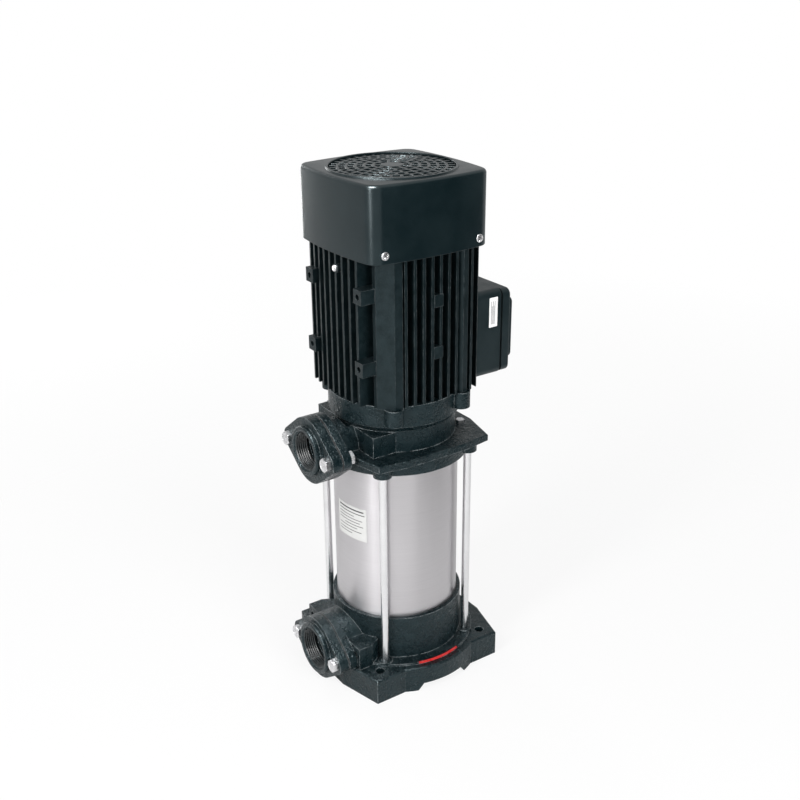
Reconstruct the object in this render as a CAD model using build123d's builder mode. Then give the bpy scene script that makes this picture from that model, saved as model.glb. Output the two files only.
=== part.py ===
"""Vertical multistage pump: cast base and head, steel sleeve with five stages, and a finned motor on top.

Millimetres. The pump axis is Z and the base stands on Z = 0. Both ports face -Y, the terminal box faces +Y.
"""
from build123d import *
from math import cos, pi, radians, sin, sqrt
import os

# Fits and small gaps
slip = 0.1            # a fixed round piece in its hole
shaft_fit = 0.05      # a piece carried on the shaft
running = 0.3         # a turning piece beside a fixed one
socket_gap = 0.25     # the sleeve in its sockets
gasket_thickness = 2.0

# Foot plate and base cup
foot_height = 28.0
foot_half_x = 79.0
foot_half_y = 77.5
foot_nose_half = 30.0
foot_nose_reach = 90.0
foot_bulge_radius = 90.0
foot_edge_radius = 2.0
foot_arch_height = 8.0
foot_arch_half = 27.0
foot_bolt_spacing = 130.0
foot_bolt_hole_radius = 5.0
step_radius = 82.5
step_height = 2.0
cup_radius = 69.5
cup_height = 50.0
cup_socket_depth = 18.0
chamber_floor = 14.0
foot_boss_radius = 7.5
foot_boss_height = 3.0
base_nozzle_radius = 34.0
web_half_x = 52.0
web_back = 55.0
web_shoulder = 66.0
web_top = 53.0
nut_recess = (28.0, 48.0)   # from and to, along X
nut_recess_depth = 12.0
nut_recess_top = 46.0

# Sleeve and tie rods
sleeve_radius = 65.0
sleeve_wall = 2.0
sleeve_exposed = 170.0
rod_x = 55.5
rod_y = 52.0
rod_radius = 4.0
rod_hole_gap = 0.3
rod_boss_radius = 9.5
rod_engagement = 13.0
nut_pocket_radius = 9.5
nut_pocket_depth = 10.0
m8_flats = 13.0
m8_nut_height = 6.5
m8_head_height = 5.3
washer_radius = 8.0
bolt_tail = 0.3
nut_room_radius = 8.5
washer_thickness = 1.5

# Ports and their oval flanges
suction_height = 35.0
joint_clearance = 1.0    # the port joints in front of the foot
hub_standout = 5.0
counter_flange_thickness = 10.5
flange_gasket_thickness = 1.5
port_flange_thickness = 9.0
oval_radius = 34.0
oval_lobe_radius = 11.0
oval_bolt_spacing = 75.0
suction_thread_radius = 22.3
discharge_thread_radius = 19.5
thread_chamfer = 1.8
hub_wall = 6.0
port_throat_radius = 18.0
throat_start = 46.0
nozzle_radius = 27.0

# Pump head
head_rim_radius = 75.5
head_rim_height = 12.5
head_socket_depth = 10.0
head_plate_thickness = 7.0
ear_x = 71.0
ear_y = 66.0
ear_flank_x = 29.0
ear_side_y = 35.0
head_plate_radius = 76.0
neck_radius = 62.0
neck_height = 22.5
neck_wall = 6.0
ceiling_thickness = 12.0
block_half_x = 52.0
block_front = 60.0
block_back = 20.0

# Stages
stage_count = 5
stage_pitch = 36.0
stage_clearance = 3.0     # between the bowls and the sleeve
bowl_wall = 2.5
chamber_ledge = 2.0       # carries the lowest bowl
bowl_flow_gap = 8.0       # around the disc that each bowl ends in
impeller_gap = 10.0
impeller_eye_radius = 23.5
shaft_radius = 6.0
spacer_radius = 8.0
spider_thickness = 4.0

# Motor
motor_half = 66.5
motor_bow = 300.0           # radius of each slightly bulged side
motor_corner = 10.0
motor_length = 148.0
motor_bore_radius = 52.0
motor_core_radius = 57.5
fin_thickness = 2.8
fin_pitch = 11.0
side_fin_pitch = 9.8
side_fin_start = -29.5
panel_left = 46.0
panel_front = 54.0
panel_back = 33.0
corner_cut = 105.0          # the corner panel lies across X - Y = this
endshield_radius = 67.6
endshield_height = 28.0
tie_bolt_x = 58.5
tie_bolt_y = 40.0
tie_bolt_radius = 2.5
lug_radius = 9.5
pad_inner_x = 37.0
pad_outer_x = 50.0
pad_root = 35.0
pad_reach = 69.0
pad_height = 14.0
pad_low = 41.7
pad_spacing = 71.0
pad_hole_radius = 3.0
pad_hole_depth = 12.0
side_boss = (8.0, 10.0, 12.0)
side_boss_x = 63.5
side_boss_low = 50.0
side_boss_spacing = 51.6
tie_bolt_wall = 3.5
stator_length = 80.0
stator_inner_radius = 32.0
air_gap = 0.5
slot_count = 24
bearing_bore = 7.5
bearing_radius = 17.5
bearing_width = 11.0
ball_radius = 3.0
ball_count = 8
ball_gap = 0.1
rear_plate_thickness = 12.0

# Fan cover
cover_half = 70.5
cover_bow = 400.0
cover_corner = 14.0
cover_wall = 2.0
cover_height = 71.5
cover_overlap = 2.0
cover_edge_radius = 4.0
grille_ring_radius = 63.0
grille_ring_width = 3.0
grille_ring_height = 1.5
grille_hole_radius = 2.6
grille_hole_pitch = 8.4
grille_hub_radius = 8.0
screw_seat_radius = 5.0
screw_seat_depth = 0.6
cover_screw_y = 53.0
cover_screw_radius = 2.0

# Seal, stages and shaft details
seal_seat_radius = 14.0
seal_seat_depth = 8.0
seal_face_height = 6.0
seal_length = 24.0
seal_gap = 2.0
spider_rim_radius = 40.0
spider_hub_radius = 15.0
spider_hub_length = 10.0
lower_bush_radius = 11.0
eye_plate_thickness = 3.0
bowl_disc_thickness = 4.0
return_vane_height = 6.0
impeller_hub_start = 8.0
impeller_hub_length = 16.0
impeller_hub_radius = 11.0
impeller_passage = 10.0
shroud = 2.0
vane_thickness = 2.0
shaft_nut_height = 7.0
rotor_shaft_radius = 10.0
fan_bore = 7.0
fan_hub_radius = 12.0
fan_hub_length = 24.0
fan_radius = 54.0
fan_blade_count = 7

# Motor details
spigot_height = 4.0
lug_height = 17.0
motor_screw_radius = 3.0
motor_screw_circle = 37.0
motor_screw_engagement = 9.0
slot_middle = 39.0
slot_depth = 10.0
slot_width = 4.0
end_turn_height = 18.0
side_boss_y = 6.3
earth_x = 2.0
earth_drop = 18.0
lead_opening_size = 24.0

# Plugs and vent
plug_radius = 6.5
plug_length = 12.0
plug_flats = 17.0
plug_head_height = 7.0
plug_washer_radius = 9.5
plug_offset = 44.0
drain_boss_standout = 4.5
drain_height = 46.0
vent_radius = 2.5
vent_depth = 6.0
vent_flats = 8.0
vent_head_height = 4.0
vent_place = (32.0, 60.0)

# Terminal box
box_half_x = 47.0
box_seat = 68.5
box_bottom_gap = 1.0
box_height = 90.0
box_depth = 29.5
box_wall = 3.0
box_corner = 7.0
lid_thickness = 10.0
lid_raised = 7.0
lid_raised_inset = (4.0, 13.0)   # along X and along Z
lid_inset = 1.5
block_width = 44.0
block_depth = 12.0
block_height = 18.0
block_drop = 24.0
gland_radius = 8.0
gland_bore_radius = 5.0
gland_nut_radius = 9.0
gland_reach = 20.0

# Stages inside the sleeve
bowl_radius = sleeve_radius - sleeve_wall - stage_clearance
chamber_radius = bowl_radius - chamber_ledge
bowl_disc_radius = bowl_radius - bowl_flow_gap
impeller_radius = bowl_radius - impeller_gap

# Levels up the pump, each from the one below
step_top = foot_height + step_height
cup_top = foot_height + cup_height
socket_floor = cup_top - cup_socket_depth
sleeve_bottom = socket_floor + gasket_thickness
head_bottom = cup_top + sleeve_exposed
head_seat = head_bottom + head_socket_depth
sleeve_top = head_seat - gasket_thickness
plate_bottom = head_bottom + head_rim_height
plate_top = plate_bottom + head_plate_thickness
discharge_height = plate_top + 0.5
neck_top = plate_top + neck_height
ceiling = neck_top - ceiling_thickness
motor_bottom = neck_top + endshield_height
motor_top = motor_bottom + motor_length
rear_top = motor_top + rear_plate_thickness
cover_bottom = motor_top - cover_overlap
cover_top = cover_bottom + cover_height

stack_bottom = socket_floor + spider_thickness
stage_levels = [stack_bottom + stage_pitch * step for step in range(stage_count)]
stack_top = stack_bottom + stage_pitch * stage_count
shaft_nut_top = stack_bottom - spider_hub_length
bellows_bottom = ceiling - seal_length
seal_face_top = ceiling - seal_gap
plug_height = plate_top + plug_washer_radius + 0.5
drive_bearing_bottom = neck_top + 5.0
cover_screw_height = motor_top + rear_plate_thickness / 2
box_bottom = motor_bottom + box_bottom_gap

# How far from the axis the cover's screw heads sit, on its bulged sides
screw_seat = cover_half - cover_bow + sqrt(cover_bow ** 2 - cover_screw_y ** 2) - screw_seat_depth

# Places along the ports, as distances from the axis towards -Y
joint_back = foot_nose_reach + joint_clearance
joint_front = joint_back + flange_gasket_thickness
plate_front = joint_front + counter_flange_thickness
port_reach = plate_front + hub_standout
port_flange_back = joint_back - port_flange_thickness
oval_half = oval_bolt_spacing / 2
nut_room_start = port_flange_back - m8_nut_height - bolt_tail - joint_clearance

upright = (Align.CENTER, Align.CENTER, Align.MIN)
rod_places = [(x, y) for x in (-rod_x, rod_x) for y in (-rod_y, rod_y)]
foot_bolt_half = foot_bolt_spacing / 2
foot_places = [(x, y) for x in (-foot_bolt_half, foot_bolt_half) for y in (-foot_bolt_half, foot_bolt_half)]
tie_bolt_places = [(x, y) for x in (-tie_bolt_x, tie_bolt_x) for y in (-tie_bolt_y, tie_bolt_y)]

motor_screw_places = [(motor_screw_circle * cos(radians(angle)), motor_screw_circle * sin(radians(angle)))
                      for angle in (45, 135, 225, 315)]

os.makedirs("parts", exist_ok=True)
made = []


def keep(name, piece):
    """Label a finished piece and write it."""
    piece.part.label = name
    export_step(piece.part, "parts/" + name + ".step")
    made.append(name)


def port_plane(distance, height):
    """A plane across a port, that far out along -Y, with its normal outwards."""
    return Plane(origin=(0, -distance, height), x_dir=(1, 0, 0), z_dir=(0, -1, 0))


def drum(radius, bottom, top, places=((0, 0),), mode=Mode.ADD):
    """Upright cylinders between two levels."""
    with Locations(*[(x, y, bottom) for x, y in places]):
        Cylinder(radius, top - bottom, align=upright, mode=mode)


def ring(outer, inner, bottom, top):
    """An upright ring between two levels."""
    drum(outer, bottom, top)
    drum(inner, bottom, top, mode=Mode.SUBTRACT)


def spun(points):
    """A solid turned about the pump axis, from radius and height pairs."""
    with BuildSketch(Plane.XZ) as half:
        with BuildLine():
            Polyline(*points, close=True)
        make_face()
    revolve(half.sketch, axis=Axis.Z)


def along_port(radius, start, end, height, mode=Mode.ADD):
    """A cylinder along a port, between two distances from the axis."""
    with BuildSketch(port_plane(start, height)) as circle:
        Circle(radius)
    extrude(circle.sketch, amount=end - start, mode=mode)


def along_x(radius, start, end, y, z, mode=Mode.ADD):
    """A cylinder along X between two places."""
    with BuildSketch(Plane(origin=(start, y, z), x_dir=(0, 1, 0), z_dir=(1, 0, 0))) as circle:
        Circle(radius)
    extrude(circle.sketch, amount=end - start, mode=mode)


def oval(start, end, height, bolt_hole):
    """The oval flange shape across a port, with its two bolt holes."""
    with BuildSketch(port_plane(start, height)) as shape:
        Circle(oval_radius)
        with Locations((-oval_half, 0), (oval_half, 0)):
            Circle(oval_lobe_radius)
        make_hull()
        with Locations((-oval_half, 0), (oval_half, 0)):
            Circle(bolt_hole, mode=Mode.SUBTRACT)
    extrude(shape.sketch, amount=end - start)


def hexagon(flats, start, amount, plane, places, turned=0.0):
    """Hexagonal prisms on a plane."""
    with BuildSketch(plane.offset(start)) as shape:
        with Locations(*places):
            RegularPolygon(flats / 2, 6, major_radius=False, rotation=turned)
    extrude(shape.sketch, amount=amount)


def bowed_square(plane, half, bow, corner):
    """A square with slightly bulged sides and round corners."""
    with BuildSketch(plane) as shape:
        with Locations((0, half - bow)):
            Circle(bow)
        for x, y in ((0, bow - half), (half - bow, 0), (bow - half, 0)):
            with Locations((x, y)):
                Circle(bow, mode=Mode.INTERSECT)
        fillet(shape.vertices().sort_by(lambda point: point.X ** 2 + point.Y ** 2)[-4:], corner)
    return shape.sketch


def hole_rings(pitch, inner, outer):
    """Radius and number of holes of each ring of a round grille."""
    radii = [outer - pitch * (step + 0.5) for step in range(int((outer - inner) // pitch))]
    return [(radius, int(2 * pi * radius / (pitch + 1))) for radius in radii]


# Base casting
with BuildPart() as base:
    with BuildSketch() as foot_outline:
        with BuildLine():
            Polyline(
                (foot_half_x, foot_half_y), (foot_nose_half, foot_nose_reach), (-foot_nose_half, foot_nose_reach),
                (-foot_half_x, foot_half_y), (-foot_half_x, -foot_half_y), (-foot_nose_half, -foot_nose_reach),
                (foot_nose_half, -foot_nose_reach), (foot_half_x, -foot_half_y), close=True)
        make_face()
        Circle(foot_bulge_radius)
        Rectangle(4 * foot_bulge_radius, 2 * foot_nose_reach, mode=Mode.INTERSECT)
    extrude(amount=foot_height)
    fillet(base.faces().sort_by(Axis.Z)[-1].edges(), foot_edge_radius)
    drum(step_radius, foot_height, step_top)
    drum(foot_boss_radius, foot_height, foot_height + foot_boss_height, rod_places)
    drum(cup_radius, foot_height, cup_top)
    along_port(base_nozzle_radius, chamber_radius, port_flange_back, suction_height)
    with BuildSketch(Plane.XY.offset(foot_height - 1)) as web:
        with BuildLine():
            Polyline(
                (web_half_x, -port_flange_back), (web_half_x, -web_shoulder), (web_half_x - 6, -web_back),
                (6 - web_half_x, -web_back), (-web_half_x, -web_shoulder), (-web_half_x, -port_flange_back),
                close=True)
        make_face()
    extrude(amount=web_top - foot_height + 1)
    oval(port_flange_back, joint_back, suction_height, rod_radius + 0.5)
    for side in (-1, 1):
        with Locations((side * sum(nut_recess) / 2, -port_flange_back, foot_height)):
            Box(nut_recess[1] - nut_recess[0], nut_recess_depth, nut_recess_top - foot_height,
                align=(Align.CENTER, Align.MIN, Align.MIN), mode=Mode.SUBTRACT)
    drum(chamber_radius, chamber_floor, socket_floor, mode=Mode.SUBTRACT)
    drum(sleeve_radius + socket_gap, socket_floor, cup_top, mode=Mode.SUBTRACT)
    along_port(port_throat_radius + 2.5, throat_start, joint_back, suction_height, mode=Mode.SUBTRACT)
    drum(foot_bolt_hole_radius, 0, foot_height, foot_places, Mode.SUBTRACT)
    drum(rod_radius + rod_hole_gap, 0, foot_height + foot_boss_height, rod_places, Mode.SUBTRACT)
    drum(nut_pocket_radius, 0, nut_pocket_depth, rod_places, Mode.SUBTRACT)
    with BuildSketch(Plane.YZ) as arch:
        with BuildLine():
            Polyline(
                (-foot_arch_half - 3, 0), (foot_arch_half + 3, 0), (foot_arch_half - 3, foot_arch_height),
                (-foot_arch_half + 3, foot_arch_height), close=True)
        make_face()
    extrude(arch.sketch, amount=2 * foot_nose_reach, both=True, mode=Mode.SUBTRACT)
    along_x(plug_washer_radius + 1.5, -cup_radius - drain_boss_standout, -chamber_radius - 2, 0, drain_height)
    along_x(plug_radius + slip, -cup_radius - drain_boss_standout,
            -cup_radius - drain_boss_standout + plug_length + 1, 0, drain_height, Mode.SUBTRACT)
keep("base_casting", base)

# Pump head: sleeve socket, ear plate, neck, discharge block and port in one casting
with BuildPart() as head:
    drum(head_rim_radius, head_bottom, plate_bottom)
    drum(rod_boss_radius, head_bottom, plate_bottom, rod_places)
    with BuildSketch(Plane.XY.offset(plate_bottom)) as plate_outline:
        with BuildLine():
            Polyline(
                (ear_x, ear_y), (ear_flank_x, head_plate_radius), (-ear_flank_x, head_plate_radius),
                (-ear_x, ear_y), (-head_plate_radius, ear_side_y), (-head_plate_radius, -ear_side_y),
                (-ear_x, -ear_y), (-ear_flank_x, -head_plate_radius), (ear_flank_x, -head_plate_radius),
                (ear_x, -ear_y), (head_plate_radius, -ear_side_y), (head_plate_radius, ear_side_y), close=True)
        make_face()
        Circle(head_plate_radius)
    extrude(amount=head_plate_thickness)
    fillet(head.faces().sort_by(Axis.Z)[-1].edges(), 1.5)
    along_port(nozzle_radius - 1, block_back, port_flange_back, discharge_height)
    with Locations((0, -(block_front + block_back) / 2, plate_bottom)):
        Box(2 * block_half_x, block_front - block_back, neck_top - 1 - plate_bottom, align=upright)
    drum(endshield_radius + 1, neck_top - 0.5, neck_top + nozzle_radius, mode=Mode.SUBTRACT)
    drum(neck_radius, plate_top, neck_top)
    oval(port_flange_back, joint_back, discharge_height, rod_radius + 0.5)
    drum(sleeve_radius + socket_gap, head_bottom - nozzle_radius, head_seat, mode=Mode.SUBTRACT)
    drum(neck_radius - neck_wall, head_seat, ceiling, mode=Mode.SUBTRACT)
    along_port(port_throat_radius, throat_start, joint_back, discharge_height, mode=Mode.SUBTRACT)
    for x in (-oval_half, oval_half):
        with BuildSketch(port_plane(nut_room_start, discharge_height)) as nut_room:
            with Locations((x, 0)):
                Circle(nut_room_radius)
        extrude(nut_room.sketch, amount=port_flange_back - nut_room_start, mode=Mode.SUBTRACT)
    drum(rod_radius + slip, head_bottom, head_bottom + rod_engagement + 2, rod_places, Mode.SUBTRACT)
    drum(seal_seat_radius + slip, ceiling, ceiling + seal_seat_depth, mode=Mode.SUBTRACT)
    drum(shaft_radius + 3, ceiling, neck_top, mode=Mode.SUBTRACT)
    drum(motor_screw_radius + slip, neck_top - motor_screw_engagement, neck_top, motor_screw_places, Mode.SUBTRACT)
    along_x(plug_radius + slip, -block_half_x, -block_half_x + plug_length + 1, -plug_offset, plug_height,
            Mode.SUBTRACT)
    drum(vent_radius + slip, plate_top - vent_depth, plate_top, [vent_place], Mode.SUBTRACT)
keep("pump_head", head)

# Outer sleeve and its end gaskets
with BuildPart() as sleeve:
    ring(sleeve_radius, sleeve_radius - sleeve_wall, sleeve_bottom, sleeve_top)
keep("outer_sleeve", sleeve)

with BuildPart() as sleeve_gaskets:
    for level in (socket_floor, sleeve_top):
        ring(sleeve_radius, sleeve_radius - sleeve_wall, level, level + gasket_thickness)
keep("sleeve_gaskets", sleeve_gaskets)

# Tie rods, screwed into the head and held by nuts under the foot plate
washer_bottom = nut_pocket_depth - washer_thickness
nut_bottom = washer_bottom - m8_nut_height
with BuildPart() as rods:
    drum(rod_radius, nut_bottom - 1, head_bottom + rod_engagement, rod_places)
    chamfer(rods.edges().filter_by(GeomType.CIRCLE), 0.8)
keep("tie_rods", rods)

with BuildPart() as rod_nuts:
    hexagon(m8_flats, nut_bottom, m8_nut_height, Plane.XY, rod_places)
    drum(rod_radius + slip, nut_bottom, washer_bottom, rod_places, Mode.SUBTRACT)
keep("tie_rod_nuts", rod_nuts)

with BuildPart() as rod_washers:
    drum(washer_radius, washer_bottom, nut_pocket_depth, rod_places)
    drum(rod_radius + rod_hole_gap, washer_bottom, nut_pocket_depth, rod_places, Mode.SUBTRACT)
keep("tie_rod_washers", rod_washers)

# Threaded oval counter flanges, their gaskets, bolts and nuts
ports = (("suction", suction_height, suction_thread_radius), ("discharge", discharge_height, discharge_thread_radius))
for name, height, thread_radius in ports:
    with BuildPart() as counter_flange:
        oval(joint_front, plate_front, height, rod_radius + 0.5)
        along_port(thread_radius + hub_wall, joint_front, port_reach, height)
        fillet(counter_flange.faces().sort_by(Axis.Y)[0].outer_wire().edges(), 2.0)
        along_port(thread_radius, joint_front, port_reach, height, Mode.SUBTRACT)
        chamfer(counter_flange.faces().sort_by(Axis.Y)[0].inner_wires()[0].edges(), thread_chamfer)
    keep(name + "_flange", counter_flange)

with BuildPart() as flange_gaskets:
    for name, height, thread_radius in ports:
        oval(joint_back, joint_front, height, rod_radius + 0.5)
        along_port(thread_radius + 1, joint_back, joint_front, height, Mode.SUBTRACT)
keep("flange_gaskets", flange_gaskets)

bolt_places = [(x, height) for x in (-oval_half, oval_half) for name, height, radius in ports]
port_face = port_plane(0, 0)
with BuildPart() as flange_bolts:
    for x, height in bolt_places:
        with BuildSketch(port_face.offset(port_flange_back - m8_nut_height - bolt_tail)) as shank:
            with Locations((x, height)):
                Circle(rod_radius)
        extrude(shank.sketch, amount=plate_front - port_flange_back + m8_nut_height + bolt_tail)
    hexagon(m8_flats, plate_front, m8_head_height, port_face, bolt_places)
keep("flange_bolts", flange_bolts)

with BuildPart() as flange_nuts:
    hexagon(m8_flats, port_flange_back - m8_nut_height, m8_nut_height, port_face, bolt_places)
    for x, height in bolt_places:
        with BuildSketch(port_face.offset(port_flange_back - m8_nut_height)) as hole:
            with Locations((x, height)):
                Circle(rod_radius + slip)
        extrude(hole.sketch, amount=m8_nut_height, mode=Mode.SUBTRACT)
keep("flange_nuts", flange_nuts)

# Priming plug on the discharge block, drain plug on the base cup, their washers and the vent screw
plugs = (("priming_plug", -block_half_x, -plug_offset, plug_height),
         ("drain_plug", -cup_radius - drain_boss_standout, 0, drain_height))
for name, face, y, z in plugs:
    with BuildPart() as plug:
        along_x(plug_radius, face - washer_thickness, face + plug_length, y, z)
        with BuildSketch(Plane(origin=(face - washer_thickness, y, z), x_dir=(0, 1, 0), z_dir=(-1, 0, 0))) as hex_head:
            RegularPolygon(plug_flats / 2, 6, major_radius=False)
        extrude(hex_head.sketch, amount=plug_head_height)
    keep(name, plug)

with BuildPart() as plug_washers:
    for name, face, y, z in plugs:
        along_x(plug_washer_radius, face - washer_thickness, face, y, z)
        along_x(plug_radius + slip, face - washer_thickness, face, y, z, Mode.SUBTRACT)
keep("plug_washers", plug_washers)

with BuildPart() as vent_screw:
    drum(vent_radius, plate_top - vent_depth + 1, plate_top, [vent_place])
    hexagon(vent_flats, plate_top, vent_head_height, Plane.XY, [vent_place])
keep("vent_screw", vent_screw)

# Inlet spider with the lower bush
with BuildPart() as spider:
    ring(chamber_radius + 4.8, spider_rim_radius, socket_floor, stack_bottom)
    drum(spider_hub_radius, stack_bottom - spider_hub_length, stack_bottom)
    with PolarLocations(0, 3):
        with Locations(((spider_rim_radius + spider_hub_radius) / 2, 0, socket_floor)):
            Box(spider_rim_radius - spider_hub_radius + 4, 7, spider_thickness, align=upright)
    drum(lower_bush_radius + slip, stack_bottom - spider_hub_length, stack_bottom, mode=Mode.SUBTRACT)
keep("inlet_spider", spider)

with BuildPart() as lower_bush:
    ring(lower_bush_radius, spacer_radius + shaft_fit, stack_bottom - spider_hub_length, stack_bottom)
keep("lower_bush", lower_bush)

# Five stages: eye plate, impeller, and a bowl that turns the flow back to the shaft
with BuildPart() as eye_plates:
    for level in stage_levels:
        ring(bowl_radius - bowl_wall - running, impeller_eye_radius + 0.5, level, level + eye_plate_thickness)
keep("stage_eye_plates", eye_plates)

for number, level in enumerate(stage_levels, start=1):
    disc_bottom = level + stage_pitch - return_vane_height - bowl_disc_thickness
    disc_top = disc_bottom + bowl_disc_thickness
    with BuildPart() as bowl:
        ring(bowl_radius, bowl_radius - bowl_wall, level, level + stage_pitch)
        drum(bowl_disc_radius, disc_bottom, disc_top)
        with PolarLocations(0, 8):
            with Locations(((bowl_disc_radius + bowl_radius) / 2 - 1.5, 0, disc_bottom - 6)):
                Box(bowl_radius - bowl_disc_radius, 2.5, bowl_disc_thickness + 6, align=upright)
            with Locations((bowl_disc_radius * 0.62, 0, disc_top)):
                Box(bowl_disc_radius * 0.6, 2.5, return_vane_height, rotation=(0, 0, 25), align=upright)
        drum(spacer_radius + running, disc_bottom, disc_top, mode=Mode.SUBTRACT)
    keep("stage_bowl_" + str(number), bowl)

    hub_bottom = level + impeller_hub_start
    front_bottom = level + eye_plate_thickness + 3
    back_bottom = front_bottom + impeller_passage
    with BuildPart() as impeller:
        ring(impeller_eye_radius, impeller_eye_radius - 2.5, level + 0.5, front_bottom)
        ring(impeller_radius, impeller_eye_radius - 2.5, front_bottom, front_bottom + shroud)
        drum(impeller_radius, back_bottom, back_bottom + shroud)
        drum(impeller_hub_radius, hub_bottom, hub_bottom + impeller_hub_length)
        with PolarLocations(0, 6):
            with BuildSketch(Plane.XY.offset(front_bottom + shroud)) as vane:
                with BuildLine():
                    RadiusArc((impeller_eye_radius + 1, 0), (0, impeller_radius - 2), -impeller_radius * 0.8)
                    offset(amount=vane_thickness / 2)
                make_face()
            extrude(vane.sketch, amount=impeller_passage - shroud)
        drum(shaft_radius + shaft_fit, hub_bottom, hub_bottom + impeller_hub_length, mode=Mode.SUBTRACT)
    keep("impeller_" + str(number), impeller)

# Pieces threaded on the shaft between the impellers
spacer_tops = [level + impeller_hub_start for level in stage_levels] + [bellows_bottom]
spacer_bottoms = [shaft_nut_top] + [level + impeller_hub_start + impeller_hub_length for level in stage_levels]
with BuildPart() as spacers:
    for low, high in zip(spacer_bottoms, spacer_tops):
        ring(spacer_radius, shaft_radius + shaft_fit, low, high)
keep("shaft_spacers", spacers)

with BuildPart() as shaft_nut:
    hexagon(17.0, shaft_nut_top - shaft_nut_height, shaft_nut_height, Plane.XY, [(0, 0)])
    drum(shaft_radius - 1 + shaft_fit, shaft_nut_top - shaft_nut_height, shaft_nut_top, mode=Mode.SUBTRACT)
keep("shaft_nut", shaft_nut)

with BuildPart() as stack_ring:
    ring(chamber_radius + 4.8, chamber_radius - 3, stack_top, head_seat)
keep("stack_clamp_ring", stack_ring)

# Mechanical seal under the head's ceiling
with BuildPart() as seal_seat:
    ring(seal_seat_radius, shaft_radius + 1.2, seal_face_top, ceiling + seal_seat_depth)
keep("seal_seat", seal_seat)

with BuildPart() as seal_face:
    ring(seal_seat_radius - 1, shaft_radius + shaft_fit, seal_face_top - seal_face_height, seal_face_top - slip)
keep("seal_face", seal_face)

with BuildPart() as bellows:
    ring(seal_seat_radius - 2, shaft_radius + shaft_fit, bellows_bottom, seal_face_top - seal_face_height)
    for level in (0.35, 0.65):
        middle = bellows_bottom + level * (seal_face_top - seal_face_height - bellows_bottom)
        with Locations((0, 0, middle)):
            Torus(seal_seat_radius - 2, 1.4, mode=Mode.SUBTRACT)
keep("seal_bellows", bellows)

# Motor drive end: the endshield stands on the neck and carries the lower bearing
with BuildPart() as drive_endshield:
    spun([(bearing_bore + 2, neck_top), (endshield_radius - 5, neck_top), (endshield_radius, neck_top + 6),
          (endshield_radius, motor_bottom), (motor_bore_radius - slip, motor_bottom),
          (motor_bore_radius - slip, motor_bottom + spigot_height),
          (motor_bore_radius - 4, motor_bottom + spigot_height), (motor_bore_radius - 4, drive_bearing_bottom + 4),
          (bearing_radius + 7, drive_bearing_bottom + 4), (bearing_radius + 7, drive_bearing_bottom + bearing_width + 2),
          (bearing_radius + slip, drive_bearing_bottom + bearing_width + 2),
          (bearing_radius + slip, drive_bearing_bottom), (bearing_bore + 2, drive_bearing_bottom)])
    drum(lug_radius, motor_bottom - lug_height, motor_bottom, tie_bolt_places)
    drum(motor_bore_radius - 4, motor_bottom - lug_height, motor_bottom, mode=Mode.SUBTRACT)
    drum(tie_bolt_radius + slip, motor_bottom - lug_height + 3, motor_bottom, tie_bolt_places, Mode.SUBTRACT)
    drum(motor_screw_radius + 0.3, neck_top, drive_bearing_bottom + 4, motor_screw_places, Mode.SUBTRACT)
keep("drive_endshield", drive_endshield)

with BuildPart() as motor_screws:
    drum(motor_screw_radius, neck_top - motor_screw_engagement + 1, drive_bearing_bottom + 4, motor_screw_places)
    drum(motor_screw_radius + 2, drive_bearing_bottom + 4, drive_bearing_bottom + 9, motor_screw_places)
keep("motor_fixing_screws", motor_screws)

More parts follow.
